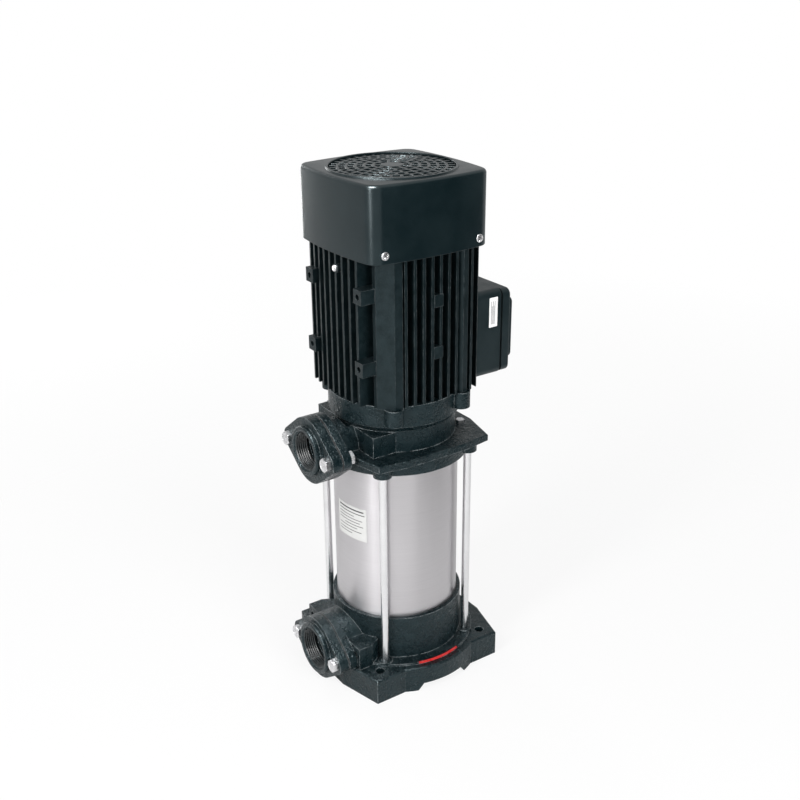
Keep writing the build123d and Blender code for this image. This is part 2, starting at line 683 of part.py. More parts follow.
# Motor housing: a tube with straight fins, plain panels at the -Y corners, pads and bosses
fin_reach = motor_half + 1
front_fins = [2 + fin_pitch * step for step in range(-5, 4)]
rear_fins = front_fins[2:]
right_fins = [side_fin_start + side_fin_pitch * step for step in range(10)]
left_fins = right_fins[1:-1]
with BuildPart() as housing:
    with BuildSketch(Plane.XY.offset(motor_bottom)) as section:
        Circle(motor_core_radius)
        for places, side in ((front_fins, -1), (rear_fins, 1)):
            with Locations(*[(x, side * fin_reach / 2) for x in places]):
                Rectangle(fin_thickness, fin_reach)
        for places, side in ((left_fins, -1), (right_fins, 1)):
            with Locations(*[(side * fin_reach / 2, y) for y in places]):
                Rectangle(fin_reach, fin_thickness)
        with Locations((panel_left, -panel_front)):
            Rectangle(fin_reach - panel_left, panel_front - panel_back, align=(Align.MIN, Align.MIN))
        with Locations(*tie_bolt_places):
            Circle(tie_bolt_radius + tie_bolt_wall)
        with Locations((0, tie_bolt_y), (0, -tie_bolt_y)):
            Rectangle(2 * tie_bolt_x, 2 * tie_bolt_wall)
        add(bowed_square(Plane.XY.offset(motor_bottom), motor_half, motor_bow, motor_corner), mode=Mode.INTERSECT)
        with BuildLine():
            Polyline((corner_cut - fin_reach, -fin_reach), (fin_reach, -fin_reach),
                     (fin_reach, fin_reach - corner_cut), close=True)
        make_face(mode=Mode.SUBTRACT)
        Circle(motor_bore_radius, mode=Mode.SUBTRACT)
        with Locations(*tie_bolt_places):
            Circle(tie_bolt_radius + 0.3, mode=Mode.SUBTRACT)
    extrude(section.sketch, amount=motor_length)
    for level in (pad_low, pad_low + pad_spacing):
        with Locations(*[(side * (pad_inner_x + pad_outer_x) / 2, -pad_reach, motor_bottom + level - pad_height / 2)
                         for side in (-1, 1)]):
            Box(pad_outer_x - pad_inner_x, pad_reach - pad_root, pad_height,
                align=(Align.CENTER, Align.MIN, Align.MIN))
        for side in (-1, 1):
            with BuildSketch(port_plane(pad_reach - pad_hole_depth, motor_bottom + level)) as tapping:
                with Locations((side * (pad_inner_x + pad_outer_x) / 2, 0)):
                    Circle(pad_hole_radius)
            extrude(tapping.sketch, amount=pad_hole_depth, mode=Mode.SUBTRACT)
    for level in (side_boss_low, side_boss_low + side_boss_spacing):
        with Locations(*[(side * side_boss_x, side_boss_y, motor_bottom + level) for side in (-1, 1)]):
            Box(*side_boss)
    with Locations((0, box_seat, box_bottom)):
        Box(2 * (box_half_x - 4), box_seat - motor_core_radius + 6, box_height - 6,
            align=(Align.CENTER, Align.MAX, Align.MIN))
    drum(motor_bore_radius, motor_bottom, motor_top, mode=Mode.SUBTRACT)
    with Locations((0, box_seat, box_bottom + box_height / 2)):
        Box(lead_opening_size, 2 * (box_seat - motor_bore_radius), lead_opening_size, mode=Mode.SUBTRACT)
    with BuildSketch(port_plane(motor_core_radius - 3, motor_top - earth_drop)) as earth_boss:
        with Locations((earth_x, 0)):
            Circle(4.5)
    extrude(earth_boss.sketch, amount=motor_half - motor_core_radius + 3)
    with BuildSketch(port_plane(motor_core_radius, motor_top - earth_drop)) as earth_hole:
        with Locations((earth_x, 0)):
            Circle(2.1)
    extrude(earth_hole.sketch, amount=motor_half - motor_core_radius, mode=Mode.SUBTRACT)
keep("motor_housing", housing)

with BuildPart() as earth_screw:
    with BuildSketch(port_plane(motor_core_radius + 1, motor_top - earth_drop)) as stem:
        with Locations((earth_x, 0)):
            Circle(2.0)
    extrude(stem.sketch, amount=motor_half - motor_core_radius - 1)
    with BuildSketch(port_plane(motor_half, motor_top - earth_drop)) as pan:
        with Locations((earth_x, 0)):
            Circle(3.2)
    extrude(pan.sketch, amount=2.6)
    fillet(earth_screw.faces().sort_by(Axis.Y)[0].edges(), 1.0)
keep("earth_screw", earth_screw)

# Upper endshield, and the long bolts that clamp the motor together
rear_bearing_bottom = rear_top - 6 - bearing_width
with BuildPart() as rear_endshield:
    plate_inset = cover_wall + 0.5
    extrude(bowed_square(Plane.XY.offset(motor_top), cover_half - plate_inset, cover_bow - plate_inset,
                         cover_corner - plate_inset), amount=rear_plate_thickness)
    ring(motor_bore_radius - slip, motor_bore_radius - 5, motor_top - 5, motor_top)
    drum(bearing_radius + 7, rear_bearing_bottom - 2, motor_top)
    drum(bearing_radius + slip, rear_bearing_bottom - 2, rear_bearing_bottom + bearing_width, mode=Mode.SUBTRACT)
    drum(bearing_bore + 2, rear_bearing_bottom, rear_top, mode=Mode.SUBTRACT)
    drum(tie_bolt_radius + 0.3, motor_top, rear_top, tie_bolt_places, Mode.SUBTRACT)
    for side in (-1, 1):
        for y in (-cover_screw_y, cover_screw_y):
            start = side * (screw_seat - cover_wall - 10)
            end = side * (screw_seat - cover_wall + 1)
            along_x(cover_screw_radius + slip, min(start, end), max(start, end), y, cover_screw_height,
                    Mode.SUBTRACT)
keep("rear_endshield", rear_endshield)

with BuildPart() as tie_bolts:
    drum(tie_bolt_radius, motor_bottom - lug_height + 4, rear_top, tie_bolt_places)
    hexagon(8.0, rear_top, 3.5, Plane.XY, tie_bolt_places)
keep("motor_tie_bolts", tie_bolts)

# Stator
stator_bottom = motor_bottom + (motor_length - stator_length) / 2 - 8
stator_top = stator_bottom + stator_length
with BuildPart() as stator:
    with BuildSketch(Plane.XY.offset(stator_bottom)) as lamination:
        Circle(motor_bore_radius - slip)
        Circle(stator_inner_radius, mode=Mode.SUBTRACT)
        with PolarLocations(slot_middle, slot_count):
            Rectangle(slot_depth, slot_width, mode=Mode.SUBTRACT)
    extrude(lamination.sketch, amount=stator_length)
keep("stator_core", stator)

with BuildPart() as windings:
    for level in (stator_bottom - end_turn_height, stator_top):
        ring(slot_middle + slot_depth / 2 + 1, slot_middle - slot_depth / 2 + 0.5, level, level + end_turn_height)
    fillet(windings.edges().filter_by(GeomType.CIRCLE), 2.5)
    with PolarLocations(slot_middle, slot_count):
        with Locations((0, 0, stator_bottom - 4)):
            Box(slot_depth - 0.8, slot_width - 0.8, stator_length + 8, align=upright)
keep("stator_windings", windings)

# Rotor and the one long shaft that runs from the fan to the lowest impeller
with BuildPart() as rotor_core:
    rotor_radius = stator_inner_radius - air_gap
    ring(rotor_radius, rotor_shaft_radius + shaft_fit, stator_bottom, stator_top)
    for level in (stator_bottom - 7, stator_top):
        ring(rotor_radius - 1, rotor_radius - 11, level, level + 7)
keep("rotor_core", rotor_core)

fan_bottom = rear_top + 10
shaft_top = fan_bottom + fan_hub_length + 2
with BuildPart() as shaft:
    spun([(0, shaft_nut_top - shaft_nut_height - 1), (shaft_radius - 1, shaft_nut_top - shaft_nut_height - 1),
          (shaft_radius - 1, shaft_nut_top), (shaft_radius, shaft_nut_top), (shaft_radius, neck_top),
          (bearing_bore, neck_top + 1), (bearing_bore, drive_bearing_bottom + bearing_width),
          (bearing_bore + 1.5, drive_bearing_bottom + bearing_width), (bearing_bore + 1.5, stator_bottom - 10),
          (rotor_shaft_radius, stator_bottom - 10), (rotor_shaft_radius, stator_top + 8),
          (bearing_bore + 1.5, stator_top + 8), (bearing_bore + 1.5, rear_bearing_bottom),
          (bearing_bore, rear_bearing_bottom), (bearing_bore, rear_top + 4), (fan_bore, rear_top + 4),
          (fan_bore, shaft_top), (0, shaft_top)])
keep("rotor_shaft", shaft)

# Ball bearings: outer rings in the endshields, inner rings on the shaft, balls in their cages
bearing_bottoms = (drive_bearing_bottom, rear_bearing_bottom)
ball_circle = (bearing_bore + bearing_radius) / 2
with BuildPart() as outer_rings:
    for level in bearing_bottoms:
        ring(bearing_radius, ball_circle + 2.3, level, level + bearing_width)
    for level in bearing_bottoms:
        with Locations((0, 0, level + bearing_width / 2)):
            Torus(ball_circle, ball_radius + ball_gap, mode=Mode.SUBTRACT)
keep("bearing_outer_rings", outer_rings)

with BuildPart() as inner_rings:
    for level in bearing_bottoms:
        ring(ball_circle - 2.3, bearing_bore + shaft_fit, level, level + bearing_width)
    for level in bearing_bottoms:
        with Locations((0, 0, level + bearing_width / 2)):
            Torus(ball_circle, ball_radius + ball_gap, mode=Mode.SUBTRACT)
keep("bearing_inner_rings", inner_rings)

with BuildPart() as balls:
    for level in bearing_bottoms:
        with Locations((0, 0, level + bearing_width / 2)):
            with PolarLocations(ball_circle, ball_count):
                Sphere(ball_radius)
keep("bearing_balls", balls)

with BuildPart() as cages:
    for level in bearing_bottoms:
        middle = level + bearing_width / 2
        ring(ball_circle + 1, ball_circle - 1, middle - ball_radius - 1, middle + ball_radius + 1)
    for level in bearing_bottoms:
        with Locations((0, 0, level + bearing_width / 2)):
            with PolarLocations(ball_circle, ball_count):
                Cylinder(ball_radius + ball_gap, 4, rotation=(0, 90, 0), mode=Mode.SUBTRACT)
keep("bearing_cages", cages)

# Cooling fan on the top end of the shaft
with BuildPart() as fan:
    drum(fan_hub_radius, fan_bottom, fan_bottom + fan_hub_length)
    drum(fan_radius - 6, fan_bottom, fan_bottom + 3)
    with PolarLocations(0, fan_blade_count):
        with Locations(((fan_radius + fan_hub_radius) / 2, 0, fan_bottom)):
            Box(fan_radius - fan_hub_radius + 2, 2.5, fan_hub_length, align=upright)
    drum(fan_bore + shaft_fit, fan_bottom, fan_bottom + fan_hub_length, mode=Mode.SUBTRACT)
keep("cooling_fan", fan)

# Fan cover with its round perforated grille, and four screws low on its sides
with BuildPart() as cover:
    cover_plane = Plane.XY.offset(cover_bottom)
    extrude(bowed_square(cover_plane, cover_half, cover_bow, cover_corner), amount=cover_height)
    fillet(cover.faces().sort_by(Axis.Z)[-1].edges(), cover_edge_radius)
    inside = bowed_square(cover_plane, cover_half - cover_wall, cover_bow - cover_wall, cover_corner - cover_wall)
    extrude(inside, amount=cover_height - cover_wall - 1, mode=Mode.SUBTRACT)
    ring_inner = grille_ring_radius - grille_ring_width
    with BuildSketch(Plane.XY.offset(cover_top)) as grille_ring:
        Circle(grille_ring_radius)
        Circle(ring_inner, mode=Mode.SUBTRACT)
    extrude(grille_ring.sketch, amount=grille_ring_height)
    with BuildSketch(Plane.XY.offset(cover_top - cover_wall - 1)) as perforations:
        for radius, count in hole_rings(grille_hole_pitch, grille_hub_radius, ring_inner):
            with PolarLocations(radius, count):
                Circle(grille_hole_radius)
    extrude(perforations.sketch, amount=cover_wall + 1, mode=Mode.SUBTRACT)
    for y in (-cover_screw_y, cover_screw_y):
        along_x(cover_screw_radius + 0.3, -cover_half - 1, cover_half + 1, y, cover_screw_height, Mode.SUBTRACT)
        for start in (-cover_half - 1, screw_seat):
            along_x(screw_seat_radius, start, start + cover_half + 1 - screw_seat, y, cover_screw_height,
                    Mode.SUBTRACT)
keep("fan_cover", cover)

with BuildPart() as cover_screws:
    for y in (-cover_screw_y, cover_screw_y):
        for side in (-1, 1):
            inner = side * (screw_seat - cover_wall - 9)
            outer = side * screw_seat
            along_x(cover_screw_radius, min(inner, outer), max(inner, outer), y, cover_screw_height)
            with BuildSketch(Plane(origin=(outer, y, cover_screw_height), x_dir=(0, 1, 0),
                                   z_dir=(side, 0, 0))) as pan_head:
                Circle(2 * cover_screw_radius)
            extrude(pan_head.sketch, amount=2.4, taper=18)
keep("fan_cover_screws", cover_screws)

# Terminal box on the +Y side: body, lid, gasket, screws, terminal block and cable gland
box_front = box_seat + box_depth
box_middle = box_bottom + box_height / 2
wall_plane = Plane(origin=(0, box_seat, box_middle), x_dir=(-1, 0, 0), z_dir=(0, 1, 0))
lid_screw_places = [(x, z) for x in (-box_half_x + 7, box_half_x - 7)
                    for z in (-box_height / 2 + 7, box_height / 2 - 7)]
with BuildPart() as box_body:
    with BuildSketch(wall_plane) as box_outline:
        RectangleRounded(2 * box_half_x, box_height, box_corner)
    extrude(box_outline.sketch, amount=box_depth)
    with BuildSketch(wall_plane.offset(box_wall)) as box_inside:
        RectangleRounded(2 * (box_half_x - box_wall), box_height - 2 * box_wall, box_corner - box_wall)
    extrude(box_inside.sketch, amount=box_depth - box_wall, mode=Mode.SUBTRACT)
    with BuildSketch(wall_plane.offset(box_wall)) as pillars:
        with Locations(*lid_screw_places):
            Circle(5.5)
    extrude(pillars.sketch, amount=box_depth - box_wall)
    with BuildSketch(wall_plane.offset(box_depth - 14)) as pillar_holes:
        with Locations(*lid_screw_places):
            Circle(cover_screw_radius + slip)
    extrude(pillar_holes.sketch, amount=14, mode=Mode.SUBTRACT)
    with BuildSketch(wall_plane) as lead_opening:
        Circle(9)
    extrude(lead_opening.sketch, amount=box_wall, mode=Mode.SUBTRACT)
    along_x(gland_radius + 0.2, -box_half_x, -box_half_x + box_wall, box_seat + box_depth / 2, box_middle,
            Mode.SUBTRACT)
keep("terminal_box", box_body)

with BuildPart() as box_gasket:
    with BuildSketch(wall_plane.offset(box_depth)) as gasket_outline:
        RectangleRounded(2 * (box_half_x - lid_inset), box_height - 2 * lid_inset, box_corner - lid_inset)
        RectangleRounded(2 * (box_half_x - box_wall), box_height - 2 * box_wall, box_corner - box_wall,
                         mode=Mode.SUBTRACT)
    extrude(gasket_outline.sketch, amount=1.5)
keep("terminal_box_gasket", box_gasket)

lid_base = box_depth + 1.5
with BuildPart() as lid:
    with BuildSketch(wall_plane.offset(lid_base)) as lid_outline:
        RectangleRounded(2 * (box_half_x + 1), box_height - 2, box_corner)
    extrude(lid_outline.sketch, amount=lid_thickness)
    fillet(lid.faces().sort_by(Axis.Y)[-1].edges(), 2.0)
    with BuildSketch(wall_plane.offset(lid_base + lid_thickness)) as lid_plate:
        RectangleRounded(2 * (box_half_x - lid_raised_inset[0]), box_height - 2 * lid_raised_inset[1],
                         box_corner - 2)
    extrude(lid_plate.sketch, amount=lid_raised)
    fillet(lid.faces().sort_by(Axis.Y)[-1].edges(), 2.0)
    with BuildSketch(wall_plane.offset(lid_base)) as lid_inside:
        RectangleRounded(2 * (box_half_x - box_wall), box_height - 2 * box_wall - 2, box_corner - box_wall)
    extrude(lid_inside.sketch, amount=lid_thickness - 3, mode=Mode.SUBTRACT)
    with BuildSketch(wall_plane.offset(lid_base)) as lid_posts:
        with Locations(*lid_screw_places):
            Circle(5.5)
    extrude(lid_posts.sketch, amount=lid_thickness - 3)
    with BuildSketch(wall_plane.offset(lid_base)) as lid_holes:
        with Locations(*lid_screw_places):
            Circle(cover_screw_radius + 0.3)
    extrude(lid_holes.sketch, amount=lid_thickness, mode=Mode.SUBTRACT)
keep("terminal_box_lid", lid)

with BuildPart() as lid_screws:
    with BuildSketch(wall_plane.offset(box_depth - 13)) as lid_stems:
        with Locations(*lid_screw_places):
            Circle(cover_screw_radius)
    extrude(lid_stems.sketch, amount=lid_thickness + 14.5)
    with BuildSketch(wall_plane.offset(lid_base + lid_thickness)) as lid_heads:
        with Locations(*lid_screw_places):
            Circle(2 * cover_screw_radius)
    extrude(lid_heads.sketch, amount=2.0, taper=18)
keep("terminal_lid_screws", lid_screws)

with BuildPart() as terminal_block:
    with Locations((0, box_seat + box_wall, box_middle - block_drop)):
        Box(block_width, block_depth, block_height, align=(Align.CENTER, Align.MIN, Align.CENTER))
    with BuildSketch(wall_plane.offset(box_wall + block_depth)) as studs:
        with Locations(*[(x, z - block_drop) for x in (-block_width / 3, 0, block_width / 3) for z in (-5, 5)]):
            Circle(2.0)
    extrude(studs.sketch, amount=7)
keep("terminal_block", terminal_block)

gland_y = box_seat + box_depth / 2
with BuildPart() as gland:
    along_x(gland_radius, -box_half_x - 4, -box_half_x + box_wall + 6, gland_y, box_middle)
    with BuildSketch(Plane(origin=(-box_half_x, gland_y, box_middle), x_dir=(0, 1, 0), z_dir=(-1, 0, 0))) as body_hex:
        RegularPolygon(10.5, 6, major_radius=False)
    extrude(body_hex.sketch, amount=5)
    along_x(gland_nut_radius, -box_half_x - gland_reach, -box_half_x - 5, gland_y, box_middle)
    chamfer(gland.faces().sort_by(Axis.X)[0].edges(), 2.0)
    along_x(gland_bore_radius, -box_half_x - gland_reach, -box_half_x + box_wall + 6, gland_y, box_middle,
            Mode.SUBTRACT)
keep("cable_gland", gland)

print(len(made), "nodes")
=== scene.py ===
from math import atan2, cos, pi, radians, sin, sqrt

import bmesh
import bpy
from mathutils import Matrix, Vector


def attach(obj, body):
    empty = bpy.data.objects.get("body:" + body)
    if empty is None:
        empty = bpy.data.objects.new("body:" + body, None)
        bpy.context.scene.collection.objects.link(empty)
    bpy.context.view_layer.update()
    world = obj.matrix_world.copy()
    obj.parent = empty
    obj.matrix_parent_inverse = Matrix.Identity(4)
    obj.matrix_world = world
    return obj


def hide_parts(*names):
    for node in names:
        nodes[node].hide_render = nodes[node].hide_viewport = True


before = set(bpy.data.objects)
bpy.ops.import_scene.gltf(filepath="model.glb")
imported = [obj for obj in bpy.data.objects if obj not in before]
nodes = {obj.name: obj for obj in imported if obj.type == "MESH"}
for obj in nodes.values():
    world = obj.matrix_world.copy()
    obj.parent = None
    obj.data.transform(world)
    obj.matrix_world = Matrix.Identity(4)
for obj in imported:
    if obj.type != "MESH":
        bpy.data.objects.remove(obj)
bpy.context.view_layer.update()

scene = bpy.context.scene
mm = 0.001
print("frame loaded:", len(nodes), "nodes")

# Turns are in degrees from straight in front of the ports, towards +X, elevations from level
cameraView = {
    "turn": 56.0,
    "elevation": 23.3,
    "roll": -0.5,
    "distance": 1.124,
    "height": 0.2965,     # where it looks on the pump's axis
    "aside": 0.0055,
    "lens": 49.5,
    "sensor": 36.0,
    "near": 0.01,
}


def outward(turn, elevation=0.0):
    turn, elevation = radians(turn), radians(elevation)
    return Vector((sin(turn) * cos(elevation), -cos(turn) * cos(elevation), sin(elevation)))


def across(turn):
    return Vector((cos(radians(turn)), sin(radians(turn)), 0.0))


def makeCamera(v):
    back, level, roll = outward(v["turn"], v["elevation"]), across(v["turn"]), radians(v["roll"])
    upright = back.cross(level)
    right = level * cos(roll) + upright * sin(roll)
    up = upright * cos(roll) - level * sin(roll)
    spot = level * v["aside"] + Vector((0, 0, v["height"])) + back * v["distance"]
    camera = bpy.data.objects.new("camera", bpy.data.cameras.new("camera"))
    facing = Matrix((right, up, back)).transposed().to_4x4()
    camera.matrix_world = Matrix.Translation(spot) @ facing
    camera.data.lens = v["lens"]
    camera.data.sensor_width = v["sensor"]
    camera.data.clip_start = v["near"]
    scene.collection.objects.link(camera)
    scene.camera = camera


makeCamera(cameraView)
print("camera set")


# Node helpers, for shader and geometry trees alike


def addNode(tree, kind, **values):
    node = tree.nodes.new(kind)
    for key, value in values.items():
        if hasattr(node, key):
            setattr(node, key, value)
        else:
            node.inputs[key.replace("_", " ")].default_value = value
    return node


def wire(tree, value, socket):
    if isinstance(value, (int, float, tuple)):
        socket.default_value = value
    else:
        tree.links.new(value, socket)


def link(tree, *pairs):
    for source, target in pairs:
        tree.links.new(source, target)


def mathNode(tree, operation, first, second):
    node = addNode(tree, "ShaderNodeMath", operation=operation)
    wire(tree, first, node.inputs[0])
    wire(tree, second, node.inputs[1])
    return node.outputs[0]


def noiseNode(tree, vector, scale, detail):
    node = addNode(tree, "ShaderNodeTexNoise", Detail=detail[0], Roughness=detail[1])
    link(tree, (vector, node.inputs["Vector"]), (scale, node.inputs["Scale"]))
    return node.outputs[0]


def rangeNode(tree, value, span):
    node = addNode(tree, "ShaderNodeMapRange", From_Min=span[0], From_Max=span[1])
    wire(tree, value, node.inputs["Value"])
    return node.outputs[0]


# Sockets 6, 7 and 2 are the ones for colours
def mixColours(tree, share, first, second):
    node = addNode(tree, "ShaderNodeMix", data_type="RGBA")
    for value, number in ((share, 0), (first, 6), (second, 7)):
        wire(tree, value, node.inputs[number])
    return node.outputs[2]


def freshTree(owner):
    owner.use_nodes = True
    owner.node_tree.nodes.clear()
    return owner.node_tree


def newGroup(name, inputs, outputs):
    group = bpy.data.node_groups.new(name, "ShaderNodeTree")
    for title, value in inputs.items():
        kind = "NodeSocketFloat" if isinstance(value, float) else "NodeSocketVector"
        socket = group.interface.new_socket(title, in_out="INPUT", socket_type=kind)
        if value is not None:
            socket.default_value = value
    for title, kind in outputs.items():
        group.interface.new_socket(title, in_out="OUTPUT", socket_type="NodeSocket" + kind)
    start, end = group.nodes.new("NodeGroupInput"), group.nodes.new("NodeGroupOutput")
    return group, start.outputs, end.inputs


# Shader groups. Fine, patches, lines, clouds and noise each give a noise's detail and roughness,
# and a span is the part of its range in use.
grainLook = {"fine": (3.0, 0.6), "fineShare": 0.7, "pitShare": 0.4, "patches": (4.0, 0.65),
             "span": (0.36, 0.64)}
brushLook = {"lines": (5.0, 0.7), "lineShare": 0.5, "clouds": (2.0, 0.5), "cloudShare": 0.5,
             "span": (0.3, 0.7)}
edgeLook = {"samples": 4, "turned": (0.995, 0.8), "noise": (3.0, 0.7), "span": (0.38, 0.62)}


def grainGroup(v):
    inputs = {"Vector": None, "Scale": 900.0, "Patch Scale": 45.0, "Lumps": 0.5}
    group, start, end = newGroup("surfaceGrain", inputs, {"Height": "Float", "Patches": "Float"})
    fine = noiseNode(group, start["Vector"], start["Scale"], v["fine"])
    patches = noiseNode(group, start["Vector"], start["Patch Scale"], v["patches"])
    pits = addNode(group, "ShaderNodeTexVoronoi")
    grain = mathNode(group, "ADD", mathNode(group, "MULTIPLY", fine, v["fineShare"]),
                     mathNode(group, "MULTIPLY", pits.outputs["Distance"], v["pitShare"]))
    lumps = mathNode(group, "MULTIPLY", patches, start["Lumps"])
    link(group, (start["Vector"], pits.inputs["Vector"]), (start["Scale"], pits.inputs["Scale"]),
         (mathNode(group, "ADD", grain, lumps), end["Height"]),
         (rangeNode(group, patches, v["span"]), end["Patches"]))
    return group


def brushGroup(v):
    inputs = {"Vector": None, "Stretch": (1.0, 1.0, 60.0), "Scale": 30.0, "Cloud Scale": 28.0}
    group, start, end = newGroup("brushedLines", inputs, {"Height": "Float", "Patches": "Float"})
    stretch = addNode(group, "ShaderNodeVectorMath", operation="MULTIPLY")
    lines = noiseNode(group, stretch.outputs[0], start["Scale"], v["lines"])
    clouds = noiseNode(group, start["Vector"], start["Cloud Scale"], v["clouds"])
    both = mathNode(group, "ADD",
                    mathNode(group, "MULTIPLY", rangeNode(group, lines, v["span"]), v["lineShare"]),
                    mathNode(group, "MULTIPLY", clouds, v["cloudShare"]))
    link(group, (start["Vector"], stretch.inputs[0]), (start["Stretch"], stretch.inputs[1]),
         (lines, end["Height"]), (both, end["Patches"]))
    return group


# Edge mask from rounded normals: it marks edges for lighter colour, partly worn paint and partly
# painted edge highlights
def edgeGroup(v):
    inputs = {"Vector": None, "Radius": 0.8 * mm, "Amount": 1.0, "Break Up": 120.0}
    group, start, end = newGroup("edgeWearGlint", inputs, {"Worn Glint": "Float", "Normal": "Vector"})
    rounded = addNode(group, "ShaderNodeBevel", samples=v["samples"])
    plain = group.nodes.new("ShaderNodeNewGeometry")
    likeness = addNode(group, "ShaderNodeVectorMath", operation="DOT_PRODUCT")
    turned = rangeNode(group, likeness.outputs["Value"], v["turned"])
    noise = noiseNode(group, start["Vector"], start["Break Up"], v["noise"])
    broken = mathNode(group, "MULTIPLY", turned, rangeNode(group, noise, v["span"]))
    link(group, (start["Radius"], rounded.inputs["Radius"]),
         (rounded.outputs[0], likeness.inputs[0]), (plain.outputs["Normal"], likeness.inputs[1]),
         (mathNode(group, "MULTIPLY", broken, start["Amount"]), end["Worn Glint"]),
         (rounded.outputs[0], end["Normal"]))
    return group


groups = {"grain": grainGroup(grainLook), "brush": brushGroup(brushLook),
          "edge": edgeGroup(edgeLook)}

# Each finish: two colours and two roughnesses it varies between, sizes and depth (mm) of its grain,
# width (mm), colour and amount of its lighter edges, partly real wear and partly painted edge
# highlights, and the tint of what it mirrors. A stretched grain is brushed, and spread is how
# far such a metal draws out its highlights.
finishes = {
    "blackCasting": {"colours": ((0.003, 0.0085, 0.0105), (0.007, 0.0145, 0.017)),
                     "roughness": (0.16, 0.4), "scale": 560.0, "patch": 95.0, "depth": 0.75,
                     "lumps": 1.9, "specular": 0.36, "edge": 0.9, "wornGlintColour": (0.34, 0.37, 0.38),
                     "wornGlintAmount": 1.5, "sheen": (0.78, 0.95, 1.0)},
    "blackFins": {"colours": ((0.0025, 0.0065, 0.0078), (0.0055, 0.0115, 0.0135)),
                  "roughness": (0.3, 0.45), "scale": 900.0, "patch": 110.0, "depth": 0.24,
                  "lumps": 1.0, "specular": 0.31, "edge": 0.6, "wornGlintColour": (0.2, 0.22, 0.225),
                  "wornGlintAmount": 0.8, "sheen": (0.78, 0.95, 1.0)},
    "blackCover": {"colours": ((0.0028, 0.0078, 0.0096), (0.0045, 0.0105, 0.0125)),
                   "roughness": (0.28, 0.35), "scale": 1500.0, "patch": 26.0, "depth": 0.05,
                   "lumps": 0.8, "specular": 0.52, "edge": 0.6, "wornGlintColour": (0.05, 0.06, 0.065),
                   "wornGlintAmount": 0.3, "sheen": (0.82, 0.96, 1.0)},
    "blackPlastic": {"colours": ((0.007, 0.0135, 0.0155), (0.011, 0.0185, 0.021)),
                     "roughness": (0.36, 0.46), "scale": 1300.0, "patch": 50.0, "depth": 0.07,
                     "lumps": 0.6, "specular": 0.4, "edge": 0.7, "wornGlintColour": (0.06, 0.07, 0.075),
                     "wornGlintAmount": 0.3, "sheen": (0.82, 0.96, 1.0)},
    "threadedIron": {"colours": ((0.016, 0.022, 0.024), (0.04, 0.047, 0.049)),
                     "roughness": (0.2, 0.32), "scale": 900.0, "patch": 90.0, "depth": 0.05},
    "palePlastic": {"colours": ((0.5, 0.47, 0.4), (0.58, 0.55, 0.47)), "roughness": (0.4, 0.5),
                    "scale": 1200.0, "patch": 50.0, "depth": 0.03, "edge": 0.4},
    "rubber": {"colours": ((0.012, 0.012, 0.012), (0.03, 0.03, 0.03)), "roughness": (0.7, 0.85),
               "scale": 900.0, "patch": 60.0, "depth": 0.08, "specular": 0.3},
    "carbon": {"colours": ((0.03, 0.03, 0.032), (0.06, 0.06, 0.06)), "roughness": (0.35, 0.5),
               "scale": 1500.0, "patch": 90.0, "depth": 0.03},
    "ceramic": {"colours": ((0.72, 0.7, 0.66), (0.82, 0.8, 0.77)), "roughness": (0.15, 0.25),
                "scale": 1500.0, "patch": 90.0, "depth": 0.01},
    "brightSteel": {"colours": ((0.76, 0.76, 0.77), (0.84, 0.84, 0.85)), "metallic": 1.0,
                    "roughness": (0.2, 0.27), "scale": 900.0, "patch": 26.0, "depth": 0.004},
    "zincSteel": {"colours": ((0.6, 0.6, 0.61), (0.8, 0.8, 0.81)), "metallic": 1.0,
                  "roughness": (0.24, 0.38), "scale": 900.0, "patch": 260.0, "depth": 0.03,
                  "edge": 0.35},
    "stainless": {"colours": ((0.5, 0.49, 0.49), (0.62, 0.61, 0.61)), "metallic": 1.0,
                  "roughness": (0.28, 0.42), "scale": 1300.0, "patch": 70.0, "depth": 0.04},
    "laminated": {"colours": ((0.25, 0.25, 0.26), (0.38, 0.38, 0.39)), "metallic": 1.0,
                  "roughness": (0.35, 0.5), "scale": 26.0, "patch": 70.0, "depth": 0.05,
                  "stretch": (1.0, 1.0, 60.0)},
    "copperWire": {"colours": ((0.42, 0.15, 0.06), (0.62, 0.26, 0.11)), "metallic": 1.0,
                   "roughness": (0.3, 0.42), "scale": 1200.0, "patch": 90.0, "depth": 0.15},
    "copper": {"colours": ((0.5, 0.24, 0.14), (0.68, 0.36, 0.22)), "metallic": 1.0,
               "roughness": (0.3, 0.45), "scale": 1200.0, "patch": 120.0, "depth": 0.03},
    "brass": {"colours": ((0.5, 0.36, 0.14), (0.65, 0.48, 0.2)), "metallic": 1.0,
              "roughness": (0.28, 0.4), "scale": 1200.0, "patch": 120.0, "depth": 0.03},
    "brushedSleeve": {"colours": ((0.545, 0.53, 0.545), (0.625, 0.61, 0.625)), "metallic": 1.0,
                      "roughness": (0.3, 0.38), "scale": 22.0, "patch": 16.0, "depth": 0.006,
                      "stretch": (1.0, 1.0, 55.0), "spread": 0.75},
    "redPaint": {"colours": ((0.50, 0.012, 0.012), (0.66, 0.03, 0.028)), "roughness": (0.4, 0.55),
                 "scale": 900.0, "patch": 200.0, "depth": 0.06, "specular": 0.4},
    # The same white film as the sleeve label, painted brighter to offset the shade on the box's
    # side
    "boxFilm": {"colours": ((0.93, 0.93, 0.93), (0.97, 0.97, 0.97)), "roughness": (0.35, 0.45),
                "scale": 700.0, "patch": 60.0, "depth": 0.008},
    "labelFilm": {"colours": ((0.62, 0.62, 0.61), (0.67, 0.67, 0.66)), "roughness": (0.35, 0.45),
                  "scale": 700.0, "patch": 60.0, "depth": 0.008, "specular": 0.4},
    "labelInk": {"colours": ((0.035, 0.035, 0.038), (0.08, 0.08, 0.085)), "roughness": (0.45, 0.55),
                 "scale": 900.0, "patch": 400.0, "depth": 0.01, "specular": 0.3},
}
usualFinish = {"lumps": 0.3, "wornGlintAmount": 0.0, "metallic": 0.0, "spread": 0.0, "spreadTurn": 0.25,
               "specular": 0.5, "sheen": (1.0, 1.0, 1.0)}


